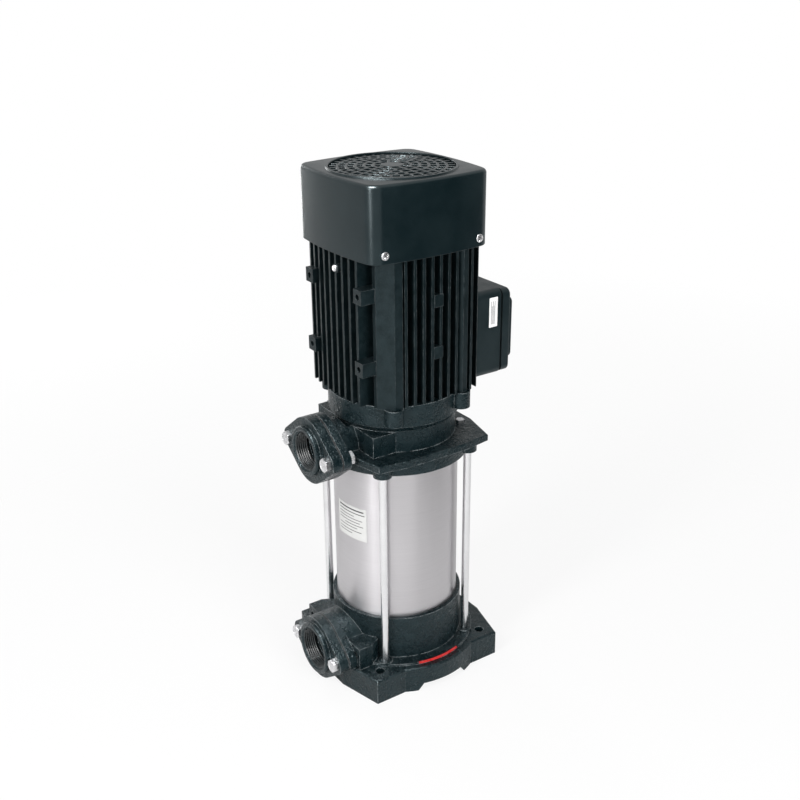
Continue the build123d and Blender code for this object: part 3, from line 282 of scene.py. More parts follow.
def patternNode(tree, place, v):
    brushed = "stretch" in v
    pattern = addNode(tree, "ShaderNodeGroup", node_tree=groups["brush" if brushed else "grain"])
    settings = {"Vector": place, "Scale": v["scale"]}
    if brushed:
        settings.update({"Stretch": v["stretch"], "Cloud Scale": v["patch"]})
    else:
        settings.update({"Patch Scale": v["patch"], "Lumps": v["lumps"]})
    for title, value in settings.items():
        wire(tree, value, pattern.inputs[title])
    return pattern.outputs


def makeFinish(name, changes):
    v = {**usualFinish, **changes}
    material = bpy.data.materials.new(name)
    tree = freshTree(material)
    output = tree.nodes.new("ShaderNodeOutputMaterial")
    shader = tree.nodes.new("ShaderNodeBsdfPrincipled")
    place = tree.nodes.new("ShaderNodeTexCoord").outputs["Object"]
    pattern = patternNode(tree, place, v)
    tint = mixColours(tree, pattern["Patches"], *(colour + (1.0,) for colour in v["colours"]))
    rough = addNode(tree, "ShaderNodeMapRange", To_Min=v["roughness"][0], To_Max=v["roughness"][1])
    bump = addNode(tree, "ShaderNodeBump", Strength=1.0, Distance=v["depth"] * mm)
    if "edge" in v:
        edge = addNode(tree, "ShaderNodeGroup", node_tree=groups["edge"])
        edge.inputs["Radius"].default_value = v["edge"] * mm
        edge.inputs["Amount"].default_value = v["wornGlintAmount"]
        link(tree, (place, edge.inputs["Vector"]), (edge.outputs["Normal"], bump.inputs["Normal"]))
        # Lighter edge colour: partly real wear, partly a painted highlight where the edges catch
        # light
        if "wornGlintColour" in v:
            tint = mixColours(tree, edge.outputs["Worn Glint"], tint, v["wornGlintColour"] + (1.0,))
    link(tree, (shader.outputs[0], output.inputs["Surface"]),
         (pattern["Patches"], rough.inputs["Value"]), (pattern["Height"], bump.inputs["Height"]))
    for title, value in (("Base Color", tint), ("Roughness", rough.outputs[0]),
                         ("Normal", bump.outputs[0]), ("Metallic", v["metallic"]),
                         ("Anisotropic", v["spread"]), ("Anisotropic Rotation", v["spreadTurn"]),
                         ("Specular IOR Level", v["specular"]),
                         ("Specular Tint", v["sheen"] + (1.0,))):
        wire(tree, value, shader.inputs[title])
    return material


materials = {name: makeFinish(name, values) for name, values in finishes.items()}

nodesOfFinish = {
    "blackCasting": ("base_casting", "pump_head", "suction_flange", "discharge_flange",
                     "drive_endshield", "rear_endshield"),
    "blackFins": ("motor_housing",),
    "blackCover": ("fan_cover",),
    "blackPlastic": ("terminal_box", "terminal_box_lid", "cooling_fan", "cable_gland"),
    "palePlastic": ("terminal_block",),
    "brushedSleeve": ("outer_sleeve",),
    "brightSteel": ("tie_rods", "rotor_shaft", "bearing_outer_rings", "bearing_inner_rings",
                    "bearing_balls"),
    "rubber": ("sleeve_gaskets", "flange_gaskets", "terminal_box_gasket", "seal_bellows"),
    "copper": ("plug_washers",),
    "carbon": ("lower_bush", "seal_face"),
    "ceramic": ("seal_seat",),
    "brass": ("bearing_cages",),
    "laminated": ("rotor_core", "stator_core"),
    "copperWire": ("stator_windings",),
    "stainless": ("inlet_spider", "stage_eye_plates", "stage_bowl", "impeller", "shaft_spacers",
                  "shaft_nut", "stack_clamp_ring"),
}
restFinish = "zincSteel"
finishOfNode = {name: finish for finish, names in nodesOfFinish.items() for name in names}
for name, node in nodes.items():
    unnumbered = name.rstrip("_0123456789")
    node.data.materials.clear()
    node.data.materials.append(materials[finishOfNode.get(unnumbered, restFinish)])
print("materials made:", len(materials))


# Mesh helpers


def smoothed(mesh, sharpAngle):
    if sharpAngle is not None:
        mesh.shade_smooth()
        mesh.set_sharp_from_angle(angle=radians(sharpAngle))


def meshObject(name, verts, faces, finish=None, sharpAngle=None):
    mesh = bpy.data.meshes.new(name)
    mesh.from_pydata([tuple(point) for point in verts], [], faces)
    build = bmesh.new()
    build.from_mesh(mesh)
    bmesh.ops.recalc_face_normals(build, faces=build.faces)
    build.to_mesh(mesh)
    build.free()
    smoothed(mesh, sharpAngle)
    if finish:
        mesh.materials.append(materials[finish])
    made = bpy.data.objects.new(name, mesh)
    scene.collection.objects.link(made)
    return made


def loft(loops, ends="closed"):
    count, last = len(loops[0]), len(loops) - 1
    verts = [point for loop in loops for point in loop]
    faces = []
    for row in range(last + (ends == "joined")):
        here, after = row * count, (row + 1) % len(loops) * count
        for step in range(count):
            following = (step + 1) % count
            faces.append((here + step, here + following, after + following, after + step))
    if ends == "closed":
        faces.append(tuple(range(count)))
        faces.append(tuple(range(last * count, (last + 1) * count)))
    return verts, faces


def settle(piece, body, slot, *replaced):
    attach(piece, body)
    if replaced:
        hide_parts(*replaced)


# Geometry Nodes helpers: a tree with named inputs, a modifier that uses it, and the mesh it makes


def newTree(name, inputs):
    tree = bpy.data.node_groups.new(name, "GeometryNodeTree")
    sockets = {"Geometry": "Geometry", **inputs, "Finish": "Material"}
    for title, kind in sockets.items():
        tree.interface.new_socket(title, in_out="INPUT", socket_type="NodeSocket" + kind)
    tree.interface.new_socket("Geometry", in_out="OUTPUT", socket_type="NodeSocketGeometry")
    return tree, tree.nodes.new("NodeGroupInput").outputs


def endTree(tree, start, geometry):
    end = tree.nodes.new("NodeGroupOutput")
    realized = tree.nodes.new("GeometryNodeRealizeInstances")
    painted = tree.nodes.new("GeometryNodeSetMaterial")
    link(tree, (geometry, realized.inputs[0]), (realized.outputs[0], painted.inputs["Geometry"]),
         (start["Finish"], painted.inputs["Material"]), (painted.outputs[0], end.inputs[0]))
    return tree


def grow(carrier, tree, values):
    modifier = carrier.modifiers.new(tree.name, "NODES")
    modifier.node_group = tree
    named = {item.name: item.identifier for item in tree.interface.items_tree
             if item.item_type == "SOCKET" and item.in_out == "INPUT"}
    for title, value in values.items():
        modifier[named[title]] = value


def bake(carrier, sharpAngle):
    bpy.context.view_layer.update()
    evaluated = carrier.evaluated_get(bpy.context.evaluated_depsgraph_get())
    mesh = bpy.data.meshes.new_from_object(evaluated)
    carrier.modifiers.clear()
    carrier.data = mesh
    smoothed(mesh, sharpAngle)


def placingTree():
    tree, start = newTree("placeOnPoints", {"Item": "Object", "Turn": "Float"})
    item = addNode(tree, "GeometryNodeObjectInfo", transform_space="ORIGINAL")
    facing = addNode(tree, "GeometryNodeInputNamedAttribute", data_type="FLOAT_VECTOR",
                     Name="facing")
    aim = addNode(tree, "FunctionNodeAlignRotationToVector", axis="Z")
    spin = tree.nodes.new("ShaderNodeCombineXYZ")
    roll = addNode(tree, "FunctionNodeRotateRotation", rotation_space="LOCAL")
    put = tree.nodes.new("GeometryNodeInstanceOnPoints")
    link(tree, (start["Item"], item.inputs["Object"]), (facing.outputs[0], aim.inputs["Vector"]),
         (start["Turn"], spin.inputs["Z"]), (aim.outputs[0], roll.inputs[0]),
         (spin.outputs[0], roll.inputs[1]), (start["Geometry"], put.inputs["Points"]),
         (item.outputs["Geometry"], put.inputs["Instance"]),
         (roll.outputs[0], put.inputs["Rotation"]))
    return endTree(tree, start, put.outputs[0])


placeOnPoints = placingTree()


# Bolts, nuts and screws, which replace the plain ones. Tip is how far a stem's end narrows, and
# over what length; turn is in radians about the fastener's own axis.
flangeBolt = {"flats": 13.0, "head": 5.3, "stem": 4.0, "length": 27.8, "tip": (0.6, 0.6),
              "front": -103.0, "turn": 0.2}
flangeNut = {"flats": 13.0, "head": 6.5, "hole": 4.1, "lead": 0.6, "front": -82.0, "turn": 0.0}
plugBolt = {"flats": 17.0, "head": 7.0, "stem": 6.4, "length": 13.5, "tip": (0.6, 0.6), "turn": 0.4}
plugSpots = {"priming_plug": (-53.5, -44.0, 277.5), "drain_plug": (-75.5, 0.0, 46.0)}
coverScrew = {"radius": 4.0, "head": 2.4, "stem": 2.0, "length": 11.0, "tip": (0.4, 0.5),
              "cross": 2.3, "x": 66.37, "y": 53.0, "z": 472.0, "turn": 0.6}
lidScrew = {"radius": 4.0, "head": 2.0, "stem": 2.0, "length": 24.5, "tip": (0.4, 0.5),
            "cross": 2.3, "x": 40.0, "y": 109.5, "z": 38.0, "turn": 0.3}
earthScrew = {"radius": 3.2, "head": 2.6, "stem": 2.0, "length": 8.0, "tip": (0.4, 0.5),
              "cross": 1.9, "place": (2.0, -66.5, 448.0), "turn": 0.5}
boltX, suctionZ, dischargeZ, boxMiddle = 37.5, 35.0, 268.0, 364.0

# Hexagon heads: radius of the round face and of its mark as shares of the size across flats
hexShape = {"face": 0.475, "slope": 0.58, "taper": 0.0001, "markRim": 0.4, "markFloor": 0.38,
            "markDepth": 0.25}
# Pan heads: height of the rim as a share of the head, and the cross recess in them
panShape = {"rim": 0.35, "roundness": 0.98, "armWidth": 0.26, "depth": 1.3, "armEnd": 1.25,
            "armFade": 0.5, "rings": 14}
loopSteps, fastenerSharp = 48, 28
loopAngles = [2 * pi * step / loopSteps for step in range(loopSteps)]


def hexLoop(flats, level, chamfered=False):
    points = []
    for angle in loopAngles:
        radius = flats / 2 / cos((angle + pi / 6) % (pi / 3) - pi / 6)
        drop = 0.0
        if chamfered:
            drop = max(0.0, radius - flats * hexShape["face"]) * hexShape["slope"]
            radius *= 1 - hexShape["taper"]
        points.append(Vector((radius * cos(angle), radius * sin(angle), level - drop)) * mm)
    return points


def roundLoop(radius, level):
    return [Vector((radius * cos(angle), radius * sin(angle), level)) * mm
            for angle in loopAngles]


def stemLoops(v):
    narrowing, run = v["tip"]
    return [roundLoop(v["stem"] - narrowing, -v["length"]), roundLoop(v["stem"], run - v["length"]),
            roundLoop(v["stem"], 0.0)]


def hexLoops(v):
    return [hexLoop(v["flats"], 0.0), hexLoop(v["flats"], v["head"], True),
            roundLoop(v["flats"] * hexShape["face"], v["head"])]


def hexBolt(v):
    mark = [roundLoop(v["flats"] * hexShape["markRim"], v["head"]),
            roundLoop(v["flats"] * hexShape["markFloor"], v["head"] - hexShape["markDepth"])]
    return meshObject("boltTemplate", *loft(stemLoops(v) + hexLoops(v) + mark))


def hexNut(v):
    bore = [roundLoop(v["hole"] + v["lead"], v["head"]),
            roundLoop(v["hole"], v["head"] - v["lead"]), roundLoop(v["hole"], 0.0)]
    return meshObject("nutTemplate", *loft(hexLoops(v) + bore, "joined"))


def crossDepth(x, y, cross):
    width = cross * panShape["armWidth"]
    arm = min(max(abs(x) / cross, abs(y) / width), max(abs(y) / cross, abs(x) / width))
    return panShape["depth"] * max(0.0, min(1.0, (panShape["armEnd"] - arm) / panShape["armFade"]))


def panScrew(v):
    loops = stemLoops(v) + [roundLoop(v["radius"], 0.0)]
    for row in range(panShape["rings"]):
        share = 1 - row / panShape["rings"]
        swell = sqrt(1 - share ** 2 * panShape["roundness"])
        dome = v["head"] * (panShape["rim"] + (1 - panShape["rim"]) * swell)
        loop = []
        for angle in loopAngles:
            x, y = v["radius"] * share * cos(angle), v["radius"] * share * sin(angle)
            loop.append(Vector((x, y, dome - crossDepth(x, y, v["cross"]))) * mm)
        loops.append(loop)
    return meshObject("screwTemplate", *loft(loops))


def fasten(node, template, places, turn):
    name = node + "_detailed"
    mesh = bpy.data.meshes.new(name)
    mesh.from_pydata([Vector(point) * mm for point, facing in places], [], [])
    facings = mesh.attributes.new("facing", "FLOAT_VECTOR", "POINT")
    for slot, (point, facing) in zip(facings.data, places):
        slot.vector = facing
    carrier = bpy.data.objects.new(name, mesh)
    scene.collection.objects.link(carrier)
    grow(carrier, placeOnPoints, {"Item": template, "Turn": turn, "Finish": materials["zincSteel"]})
    bake(carrier, fastenerSharp)
    bpy.data.objects.remove(template)
    settle(carrier, "stationary", "zinc_steel", node)


towardsPorts, towardsBox = (0, -1, 0), (0, 1, 0)
towardsRight, towardsLeft = (1, 0, 0), (-1, 0, 0)
flangeSpots = [(side * boltX, level) for side in (-1, 1) for level in (suctionZ, dischargeZ)]
sides = ((-1, towardsLeft), (1, towardsRight))

fasten("flange_bolts", hexBolt(flangeBolt),
       [((x, flangeBolt["front"], z), towardsPorts) for x, z in flangeSpots], flangeBolt["turn"])
fasten("flange_nuts", hexNut(flangeNut),
       [((x, flangeNut["front"], z), towardsBox) for x, z in flangeSpots], flangeNut["turn"])
for name, spot in plugSpots.items():
    fasten(name, hexBolt(plugBolt), [(spot, towardsLeft)], plugBolt["turn"])
v = coverScrew
fasten("fan_cover_screws", panScrew(v),
       [((side * v["x"], y, v["z"]), facing) for side, facing in sides for y in (-v["y"], v["y"])],
       v["turn"])
v = lidScrew
fasten("terminal_lid_screws", panScrew(v),
       [((x, v["y"], boxMiddle + z), towardsBox) for x in (-v["x"], v["x"])
        for z in (-v["z"], v["z"])], v["turn"])
fasten("earth_screw", panScrew(earthScrew), [(earthScrew["place"], towardsPorts)],
       earthScrew["turn"])
print("bolts, nuts and screws made")


# Threads in the two port bores: a ridge wound along each bore
portThread = {"pitch": 2.31, "ridge": 0.95, "turns": 5.6, "start": -92.9, "steps": 72,
              "sides": 4, "sharp": 25}
threadPorts = {"suction_thread": {"radius": 22.3, "z": suctionZ},
               "discharge_thread": {"radius": 19.5, "z": dischargeZ}}


def threadTree(v):
    tree, start = newTree("woundRidge", {"Radius": "Float", "Pitch": "Float", "Turns": "Float",
                                         "Ridge": "Float", "Place": "Vector"})
    spiral = addNode(tree, "GeometryNodeCurveSpiral", Resolution=v["steps"])
    upright = addNode(tree, "GeometryNodeSetCurveNormal", mode="Z_UP")
    profile = addNode(tree, "GeometryNodeCurvePrimitiveCircle", mode="RADIUS",
                      Resolution=v["sides"])
    sweep = addNode(tree, "GeometryNodeCurveToMesh", Fill_Caps=True)
    move = addNode(tree, "GeometryNodeTransform", Rotation=(pi / 2, 0.0, 0.0))
    height = mathNode(tree, "MULTIPLY", start["Pitch"], start["Turns"])
    link(tree, (start["Turns"], spiral.inputs["Rotations"]), (height, spiral.inputs["Height"]),
         (start["Radius"], spiral.inputs["Start Radius"]),
         (start["Radius"], spiral.inputs["End Radius"]),
         (spiral.outputs[0], upright.inputs["Curve"]), (upright.outputs[0], sweep.inputs["Curve"]),
         (start["Ridge"], profile.inputs["Radius"]),
         (profile.outputs[0], sweep.inputs["Profile Curve"]),
         (sweep.outputs[0], move.inputs["Geometry"]),
         (start["Place"], move.inputs["Translation"]))
    return endTree(tree, start, move.outputs[0])


woundRidge = threadTree(portThread)
for name, port in threadPorts.items():
    thread = meshObject(name, [], [])
    grow(thread, woundRidge, {
        "Radius": port["radius"] * mm, "Pitch": portThread["pitch"] * mm,
        "Turns": portThread["turns"], "Ridge": portThread["ridge"] * mm,
        "Place": (0.0, portThread["start"] * mm, port["z"] * mm),
        "Finish": materials["threadedIron"]})
    bake(thread, portThread["sharp"])
    settle(thread, "stationary", "black_casting")
print("port threads made")


# Fan cover: a bowed square hood with a ringed grille on top. Flare, outerEdge and innerEdge are the
# raised ring's corners: how far out or in they lie, and how far above the top or below its peak.
fanCover = {"half": 70.5, "bow": 400.0, "corner": 14.0, "wall": 2.0, "bottom": 464.0, "top": 535.5,
            "edge": 4.0, "edgeSteps": 6, "brim": 0.4, "ring": 63.0, "ringWidth": 3.0,
            "ringHeight": 1.5, "flare": ((1.2, 0.0), (0.0, 0.2)),
            "outerEdge": ((0.4, 0.1), (0.9, 0.0)), "innerEdge": ((0.6, 0.0), (0.0, 0.5)),
            "topWall": 3.0, "topInset": 1.5, "leastCorner": 0.5, "sideSteps": 26,
            "cornerSteps": 14, "sharp": 35}
grille = {"pitch": 8.4, "opening": 5.4, "rows": 6, "barWidth": 2.7, "barOverlap": 1.2,
          "barShare": 0.85, "barGap": 1.0, "thick": 2.4, "crown": 1.3, "rounding": 0.7,
          "roundSteps": 3, "ringSteps": 120, "hubOverlap": 1.0, "hubRim": 1.0,
          "hubBevel": (0.6, 0.5), "hubMark": (2.0, 0.15), "sharp": 35}


def bowedLoop(v, inset, level):
    half, bow = v["half"] - inset, v["bow"] - inset
    corner = max(v["corner"] - inset, v["leastCorner"])
    offset = bow - half
    middle = (sqrt(2 * (bow - corner) ** 2 - offset ** 2) - offset) / 2
    tangent = atan2(middle, middle + offset)
    meet = atan2(bow * sin(tangent), bow * cos(tangent) - offset)
    sideSteps, cornerSteps = v["sideSteps"], v["cornerSteps"]
    sweep = [-meet + 2 * meet * step / sideSteps for step in range(sideSteps)]
    sweep += [meet + (pi / 2 - 2 * meet) * step / cornerSteps for step in range(cornerSteps)]
    points = []
    for quarter in range(4):
        for angle in sweep:
            if angle <= meet:
                reach = sqrt(bow ** 2 - (offset * sin(angle)) ** 2) - offset * cos(angle)
            else:
                along = middle * (cos(angle) + sin(angle))
                reach = along + sqrt(max(0.0, corner ** 2 - 2 * middle ** 2 + along ** 2))
            way = angle + quarter * pi / 2
            points.append(Vector((reach * cos(way), reach * sin(way), level)) * mm)
    return points


def circleLike(loop, radius, level):
    return [Vector((point.x, point.y, 0.0)).normalized() * radius * mm
            + Vector((0, 0, level * mm)) for point in loop]


def coverShell(v):
    top, bottom, edge, brim = v["top"], v["bottom"], v["edge"], v["brim"]
    outline = bowedLoop(v, 0.0, bottom)
    loops = [bowedLoop(v, v["wall"], bottom), bowedLoop(v, brim, bottom),
             bowedLoop(v, 0.0, bottom + brim)]
    for step in range(v["edgeSteps"] + 1):
        turn = pi / 2 * step / v["edgeSteps"]
        loops.append(bowedLoop(v, edge * (1 - cos(turn)), top - edge + edge * sin(turn)))
    outer, inner, peak = v["ring"], v["ring"] - v["ringWidth"], top + v["ringHeight"]
    ring = [(outer + out, top + rise) for out, rise in v["flare"]]
    ring += [(outer - inset, peak - drop) for inset, drop in v["outerEdge"]]
    ring += [(inner + out, peak - drop) for out, drop in v["innerEdge"]]
    ring.append((inner, top - v["topWall"]))
    loops += [circleLike(outline, radius, level) for radius, level in ring]
    loops.append(bowedLoop(v, v["wall"] + v["topInset"], top - v["topWall"]))
    return meshObject("fan_cover_hood", *loft(loops, "joined"), "blackCover", v["sharp"])


def grilleTree(v):
    tree, start = newTree("grilleRow", {
        "Radius": "Float", "Count": "Int", "Pitch": "Float", "Opening": "Float",
        "Bar Width": "Float", "Thickness": "Float", "Level": "Float"})
    ringRadius = mathNode(tree, "ADD", start["Radius"],
                          mathNode(tree, "MULTIPLY", start["Pitch"], -0.5))
    ringWidth = mathNode(tree, "SUBTRACT", start["Pitch"], start["Opening"])
    circle = addNode(tree, "GeometryNodeCurvePrimitiveCircle", mode="RADIUS",
                     Resolution=v["ringSteps"])
    upright = addNode(tree, "GeometryNodeSetCurveNormal", mode="Z_UP")
    profile = addNode(tree, "GeometryNodeCurvePrimitiveQuadrilateral", mode="RECTANGLE")
    rounded = addNode(tree, "GeometryNodeFilletCurve", mode="POLY", Radius=v["rounding"] * mm,
                      Count=v["roundSteps"])
    sweep = tree.nodes.new("GeometryNodeCurveToMesh")
    spots = addNode(tree, "GeometryNodeMeshCircle", fill_type="NONE")
    number = tree.nodes.new("GeometryNodeInputIndex")
    angle = mathNode(tree, "DIVIDE", mathNode(tree, "MULTIPLY", number.outputs[0], 2 * pi),
                     start["Count"])
    heading = tree.nodes.new("ShaderNodeCombineXYZ")
    size = tree.nodes.new("ShaderNodeCombineXYZ")
    bar = tree.nodes.new("GeometryNodeMeshCube")
    barLength = mathNode(tree, "ADD", start["Opening"], v["barOverlap"] * mm)
    barHeight = mathNode(tree, "MULTIPLY", start["Thickness"], v["barShare"])
    put = tree.nodes.new("GeometryNodeInstanceOnPoints")
    row = tree.nodes.new("GeometryNodeJoinGeometry")
    move = tree.nodes.new("GeometryNodeTransform")
    lift = tree.nodes.new("ShaderNodeCombineXYZ")
    everything = tree.nodes.new("GeometryNodeJoinGeometry")
    link(tree, (ringRadius, circle.inputs["Radius"]), (circle.outputs[0], upright.inputs["Curve"]),
         (upright.outputs[0], sweep.inputs["Curve"]), (ringWidth, profile.inputs["Width"]),
         (start["Thickness"], profile.inputs["Height"]),
         (profile.outputs[0], rounded.inputs["Curve"]),
         (rounded.outputs[0], sweep.inputs["Profile Curve"]),
         (start["Count"], spots.inputs["Vertices"]), (start["Radius"], spots.inputs["Radius"]),
         (angle, heading.inputs["Z"]), (barLength, size.inputs["X"]),
         (start["Bar Width"], size.inputs["Y"]), (barHeight, size.inputs["Z"]),
         (size.outputs[0], bar.inputs["Size"]), (spots.outputs[0], put.inputs["Points"]),
         (bar.outputs[0], put.inputs["Instance"]), (heading.outputs[0], put.inputs["Rotation"]),
         (sweep.outputs[0], row.inputs[0]), (put.outputs[0], row.inputs[0]),
         (row.outputs[0], move.inputs["Geometry"]), (start["Level"], lift.inputs["Z"]),
         (lift.outputs[0], move.inputs["Translation"]), (move.outputs[0], everything.inputs[0]),
         (start["Geometry"], everything.inputs[0]))
    return endTree(tree, start, everything.outputs[0])


def makeGrille(v, top, inner):
    rib = (v["pitch"] - v["opening"]) / 2
    hub = inner - v["rows"] * v["pitch"] - rib + v["hubOverlap"]
    rim = hub + v["hubRim"]
    bevel, bevelDrop = v["hubBevel"]
    markRadius, markRise = v["hubMark"]

    def crownLevel(radius):
        return top - v["thick"] / 2 + v["crown"] * (1 - (radius / inner) ** 2)

    hubTop = crownLevel(0) + v["thick"] / 2
    hubBottom = hubTop - v["thick"]
    loops = [roundLoop(hub, hubBottom), roundLoop(rim, hubBottom),
             roundLoop(rim, hubTop - bevelDrop), roundLoop(rim - bevel, hubTop),
             roundLoop(markRadius, hubTop + markRise)]
    screen = meshObject("fan_cover_grille", *loft(loops), "blackCover", v["sharp"])
    for row in range(v["rows"]):
        radius = inner - v["pitch"] * (row + 0.5)
        grow(screen, grilleRow, {
            "Radius": radius * mm,
            "Count": int(2 * pi * radius / (v["pitch"] + v["barGap"])),
            "Pitch": v["pitch"] * mm, "Opening": v["opening"] * mm,
            "Bar Width": v["barWidth"] * mm, "Thickness": v["thick"] * mm,
            "Level": crownLevel(radius) * mm, "Finish": materials["blackCover"]})
    bake(screen, v["sharp"])
    return screen


hood = coverShell(fanCover)
settle(hood, "stationary", "black_cover", "fan_cover")
grilleRow = grilleTree(grille)
screen = makeGrille(grille, fanCover["top"], fanCover["ring"] - fanCover["ringWidth"])
settle(screen, "stationary", "black_cover")
print("fan cover made")


# Labels with plain rules in place of print, and the red paint mark on the base.
# Each sleeve rule: height up the label, start and end across it, as shares, and thickness in mm
sleeveLabel = {"radius": 65.0, "from": -98.0, "to": -61.0, "low": 163.0, "high": 200.0,
               "thick": 0.15, "steps": 30, "ruleSteps": 20}
sleeveRules = ((0.90, 0.08, 0.92, 1.5), (0.80, 0.08, 0.95, 0.9), (0.70, 0.08, 0.62, 0.7),
               (0.61, 0.08, 0.88, 0.7), (0.52, 0.08, 0.80, 0.7), (0.43, 0.30, 0.90, 0.7),
               (0.34, 0.08, 0.72, 0.7), (0.24, 0.08, 0.85, 0.7), (0.15, 0.08, 0.55, 0.7))
boxLabel = {"x": 47.0, "y": (83.0, 93.5), "z": (371.0, 402.0), "thick": 0.15, "corner": 0.8}
boxRules = {"count": 5, "margin": 2.4, "pitch": 1.1, "width": 0.45, "below": 3, "above": 4,
            "stagger": 5, "corner": 0.1}
plateEdge = {"bevel": 0.3, "cornerSteps": 5}
inkThickness = 0.03
redMark = {"from": -17.5, "to": 17.2, "inner": 80.7, "outer": 82.62, "low": 28.3, "high": 30.12,
           "film": 0.3, "innerBevel": 0.1, "innerDrop": 0.2, "outerDrop": 0.4, "steps": 48}


def sweptStrip(name, profile, fromAngle, toAngle, finish, steps):
    loops = []
    for step in range(steps + 1):
        angle = radians(fromAngle + (toAngle - fromAngle) * step / steps)
        loops.append([Vector((radius * cos(angle), radius * sin(angle), level)) * mm
                      for radius, level in profile])
    return meshObject(name, *loft(loops), finish)


def bandProfile(radius, thick, low, high):
    return ((radius, low), (radius + thick, low), (radius + thick, high), (radius, high))


def roundedSide(level, y, z, inset, corner):
    low, high = (y[0] + inset, z[0] + inset), (y[1] - inset, z[1] - inset)
    points = []
    for cy, cz, first in ((high[0] - corner, high[1] - corner, 0),
                          (low[0] + corner, high[1] - corner, 90),
                          (low[0] + corner, low[1] + corner, 180),
                          (high[0] - corner, low[1] + corner, 270)):
        for step in range(plateEdge["cornerSteps"] + 1):
            angle = radians(first + 90 * step / plateEdge["cornerSteps"])
            points.append(Vector((level, cy + corner * cos(angle), cz + corner * sin(angle))) * mm)
    return points


def sidePlate(name, x, thick, y, z, finish, corner):
    bevel = plateEdge["bevel"]
    loops = [roundedSide(x + thick * share, y, z, inset, corner)
             for share, inset in ((0.0, 0.0), (1 - bevel, 0.0), (1.0, thick * bevel))]
    return meshObject(name, *loft(loops), finish)


v = sleeveLabel
label = sweptStrip("sleeve_label", bandProfile(v["radius"], v["thick"], v["low"], v["high"]),
                   v["from"], v["to"], "labelFilm", v["steps"])
settle(label, "stationary", "gasket_rubber")
height, width = v["high"] - v["low"], v["to"] - v["from"]
for number, (level, start, end, thickness) in enumerate(sleeveRules, start=1):
    middle = v["low"] + level * height
    profile = bandProfile(v["radius"] + v["thick"], inkThickness, middle - thickness / 2,
                          middle + thickness / 2)
    rule = sweptStrip("sleeve_label_rule_%d" % number, profile, v["from"] + start * width,
                      v["from"] + end * width, "labelInk", v["ruleSteps"])
    settle(rule, "stationary", "gasket_rubber")

v, r = boxLabel, boxRules
# Its film is painted brighter than the sleeve label's to offset the shade on this side
boxSticker = sidePlate("terminal_box_label", v["x"], v["thick"], v["y"], v["z"], "boxFilm",
                       v["corner"])
settle(boxSticker, "stationary", "terminal_plastic")
for number in range(r["count"]):
    start = v["y"][0] + r["margin"] + number * r["pitch"]
    ends = v["z"][0] + r["below"], v["z"][1] - r["above"] - (number % 2) * r["stagger"]
    rule = sidePlate("terminal_box_label_rule_%d" % (number + 1), v["x"] + v["thick"], inkThickness,
                     (start, start + r["width"]), ends, "labelInk", r["corner"])
    settle(rule, "stationary", "terminal_plastic")

v = redMark
inner, outer, low, high = v["inner"], v["outer"], v["low"], v["high"]
back = outer - v["film"]
profile = ((inner, high - v["innerDrop"]), (inner + v["innerBevel"], high), (back, high),
           (outer, high - v["outerDrop"]), (outer, low), (back, low))
mark = sweptStrip("red_paint_mark", profile, v["from"], v["to"], "redPaint", v["steps"])
settle(mark, "stationary", "black_casting")
print("labels and red mark made")


# Floor: solid near the pump, fading out far away, and lifted towards white where the camera sees it
floorLook = {"radius": 2.6, "steps": 64, "solid": 0.32, "fade": 1.5, "colour": (0.88, 0.88, 0.88),
             "lift": 0.85}


def makeFloor(v):
    angles = [2 * pi * step / v["steps"] for step in range(v["steps"])]
    verts = [Vector((0.0, 0.0, 0.0))]
    verts += [Vector((cos(angle), sin(angle), 0.0)) * v["radius"] for angle in angles]
    faces = [(0, 1 + step, 1 + (step + 1) % v["steps"]) for step in range(v["steps"])]
    floor = meshObject("floor", verts, faces)
    material = bpy.data.materials.new("paleFloor")
    tree = freshTree(material)
    output = tree.nodes.new("ShaderNodeOutputMaterial")
    matt = addNode(tree, "ShaderNodeBsdfDiffuse", Color=v["colour"] + (1.0,))
    bright = addNode(tree, "ShaderNodeEmission", Color=(1.0, 1.0, 1.0, 1.0), Strength=1.0)
    clear = tree.nodes.new("ShaderNodeBsdfTransparent")
    place = tree.nodes.new("ShaderNodeTexCoord")
    reach = addNode(tree, "ShaderNodeVectorMath", operation="LENGTH")
    seen = tree.nodes.new("ShaderNodeLightPath")
    lifted = tree.nodes.new("ShaderNodeMixShader")
    faded = tree.nodes.new("ShaderNodeMixShader")
    lift = mathNode(tree, "MULTIPLY", seen.outputs["Is Camera Ray"], v["lift"])
    fade = rangeNode(tree, reach.outputs["Value"], (v["solid"], v["fade"]))
    link(tree, (place.outputs["Object"], reach.inputs[0]), (lift, lifted.inputs[0]),
         (matt.outputs[0], lifted.inputs[1]), (bright.outputs[0], lifted.inputs[2]),
         (fade, faded.inputs[0]), (lifted.outputs[0], faded.inputs[1]),
         (clear.outputs[0], faded.inputs[2]), (faded.outputs[0], output.inputs["Surface"]))
    floor.data.materials.append(material)


makeFloor(floorLook)

# A dark card beyond the right side keeps that side of the pump in shade
darkCard = {"turn": 122.0, "distance": 0.75, "width": 0.9, "height": 1.1, "rise": 0.02,
            "colour": (0.03, 0.03, 0.03)}


def makeCard(name, v):
    middle, reach = outward(v["turn"]) * v["distance"], across(v["turn"]) * v["width"] / 2
    low, high = Vector((0, 0, v["rise"])), Vector((0, 0, v["rise"] + v["height"]))
    corners = [middle - reach + low, middle + reach + low, middle + reach + high,
               middle - reach + high]
    card = meshObject(name, corners, [(0, 1, 2, 3)])
    material = bpy.data.materials.new("darkCard")
    tree = freshTree(material)
    output = tree.nodes.new("ShaderNodeOutputMaterial")
    matt = addNode(tree, "ShaderNodeBsdfDiffuse", Color=v["colour"] + (1.0,))
    tree.links.new(matt.outputs[0], output.inputs["Surface"])
    card.data.materials.append(material)
    card.visible_camera = False
    card.visible_shadow = False


makeCard("rightCard", darkCard)

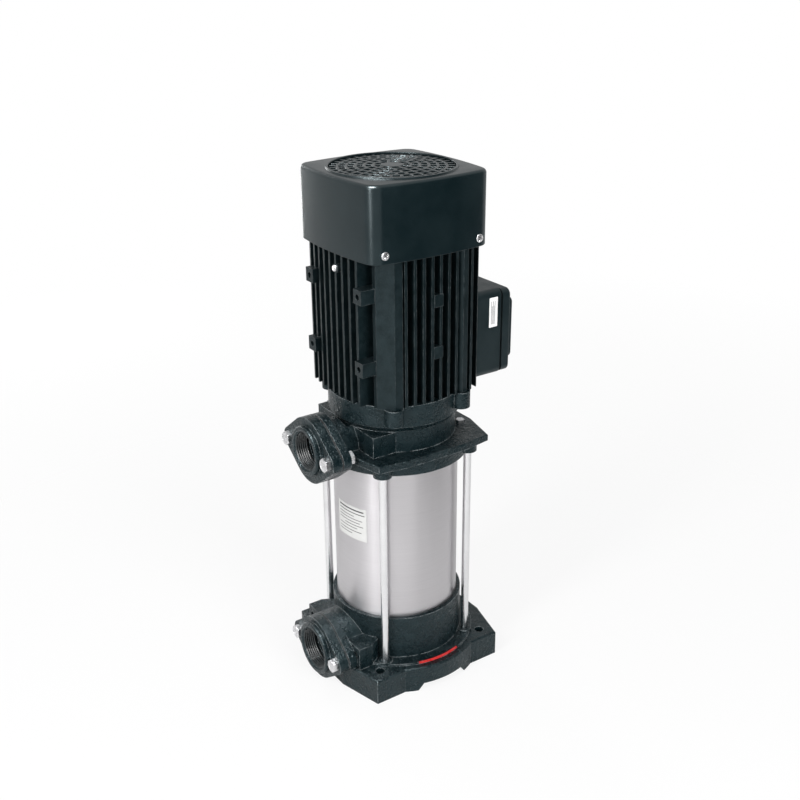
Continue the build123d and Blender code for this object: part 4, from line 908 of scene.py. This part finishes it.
# Each lamp aims at the middle of the pump; diffuse and glossy say which surfaces it lights
lamps = {
    "key": {"turn": 14.0, "elevation": 30.0, "distance": 1.6, "size": (0.3, 1.1), "power": 14.0},
    "strip": {"turn": 18.0, "elevation": 5.0, "distance": 1.7, "size": (0.16, 0.5), "power": 4.0},
    "spark": {"turn": 18.0, "elevation": 63.0, "distance": 1.4, "size": (0.5, 0.4), "power": 50.0,
              "diffuse": False},
    "left": {"turn": -92.0, "elevation": 8.0, "distance": 1.6, "size": (0.4, 0.9), "power": 7.0},
    "fill": {"turn": 95.0, "elevation": 18.0, "distance": 1.6, "size": (0.8, 0.8), "power": 21.0,
             "glossy": False},
}
lampAim = (0, 0, 0.28)


def makeLamp(name, v):
    light = bpy.data.lights.new(name, "AREA")
    light.shape = "RECTANGLE"
    light.size, light.size_y = v["size"]
    light.energy = v["power"]
    lamp = bpy.data.objects.new(name, light)
    way = outward(v["turn"], v["elevation"])
    lamp.location = Vector(lampAim) + way * v["distance"]
    lamp.rotation_euler = way.to_track_quat("Z", "Y").to_euler()
    lamp.visible_glossy = v.get("glossy", True)
    lamp.visible_diffuse = v.get("diffuse", True)
    scene.collection.objects.link(lamp)


for name, values in lamps.items():
    makeLamp(name, values)

# How bright the surroundings are to the camera, in mirroring surfaces, and as light
skyLook = {"seen": 1.0, "mirrored": 0.66, "light": 0.42}


def makeWorld(v):
    world = bpy.data.worlds.new("studio")
    scene.world = world
    tree = freshTree(world)
    output = tree.nodes.new("ShaderNodeOutputWorld")
    sky = addNode(tree, "ShaderNodeBackground", Color=(1.0, 1.0, 1.0, 1.0))
    path = tree.nodes.new("ShaderNodeLightPath")
    strength = v["light"]
    for ray, share in (("Is Camera Ray", v["seen"]), ("Is Glossy Ray", v["mirrored"])):
        more = mathNode(tree, "MULTIPLY", path.outputs[ray], share - v["light"])
        strength = mathNode(tree, "ADD", more, strength)
    link(tree, (strength, sky.inputs["Strength"]), (sky.outputs[0], output.inputs["Surface"]))


makeWorld(skyLook)
scene.view_settings.view_transform = "Standard"
print("floor, lamps and world set")
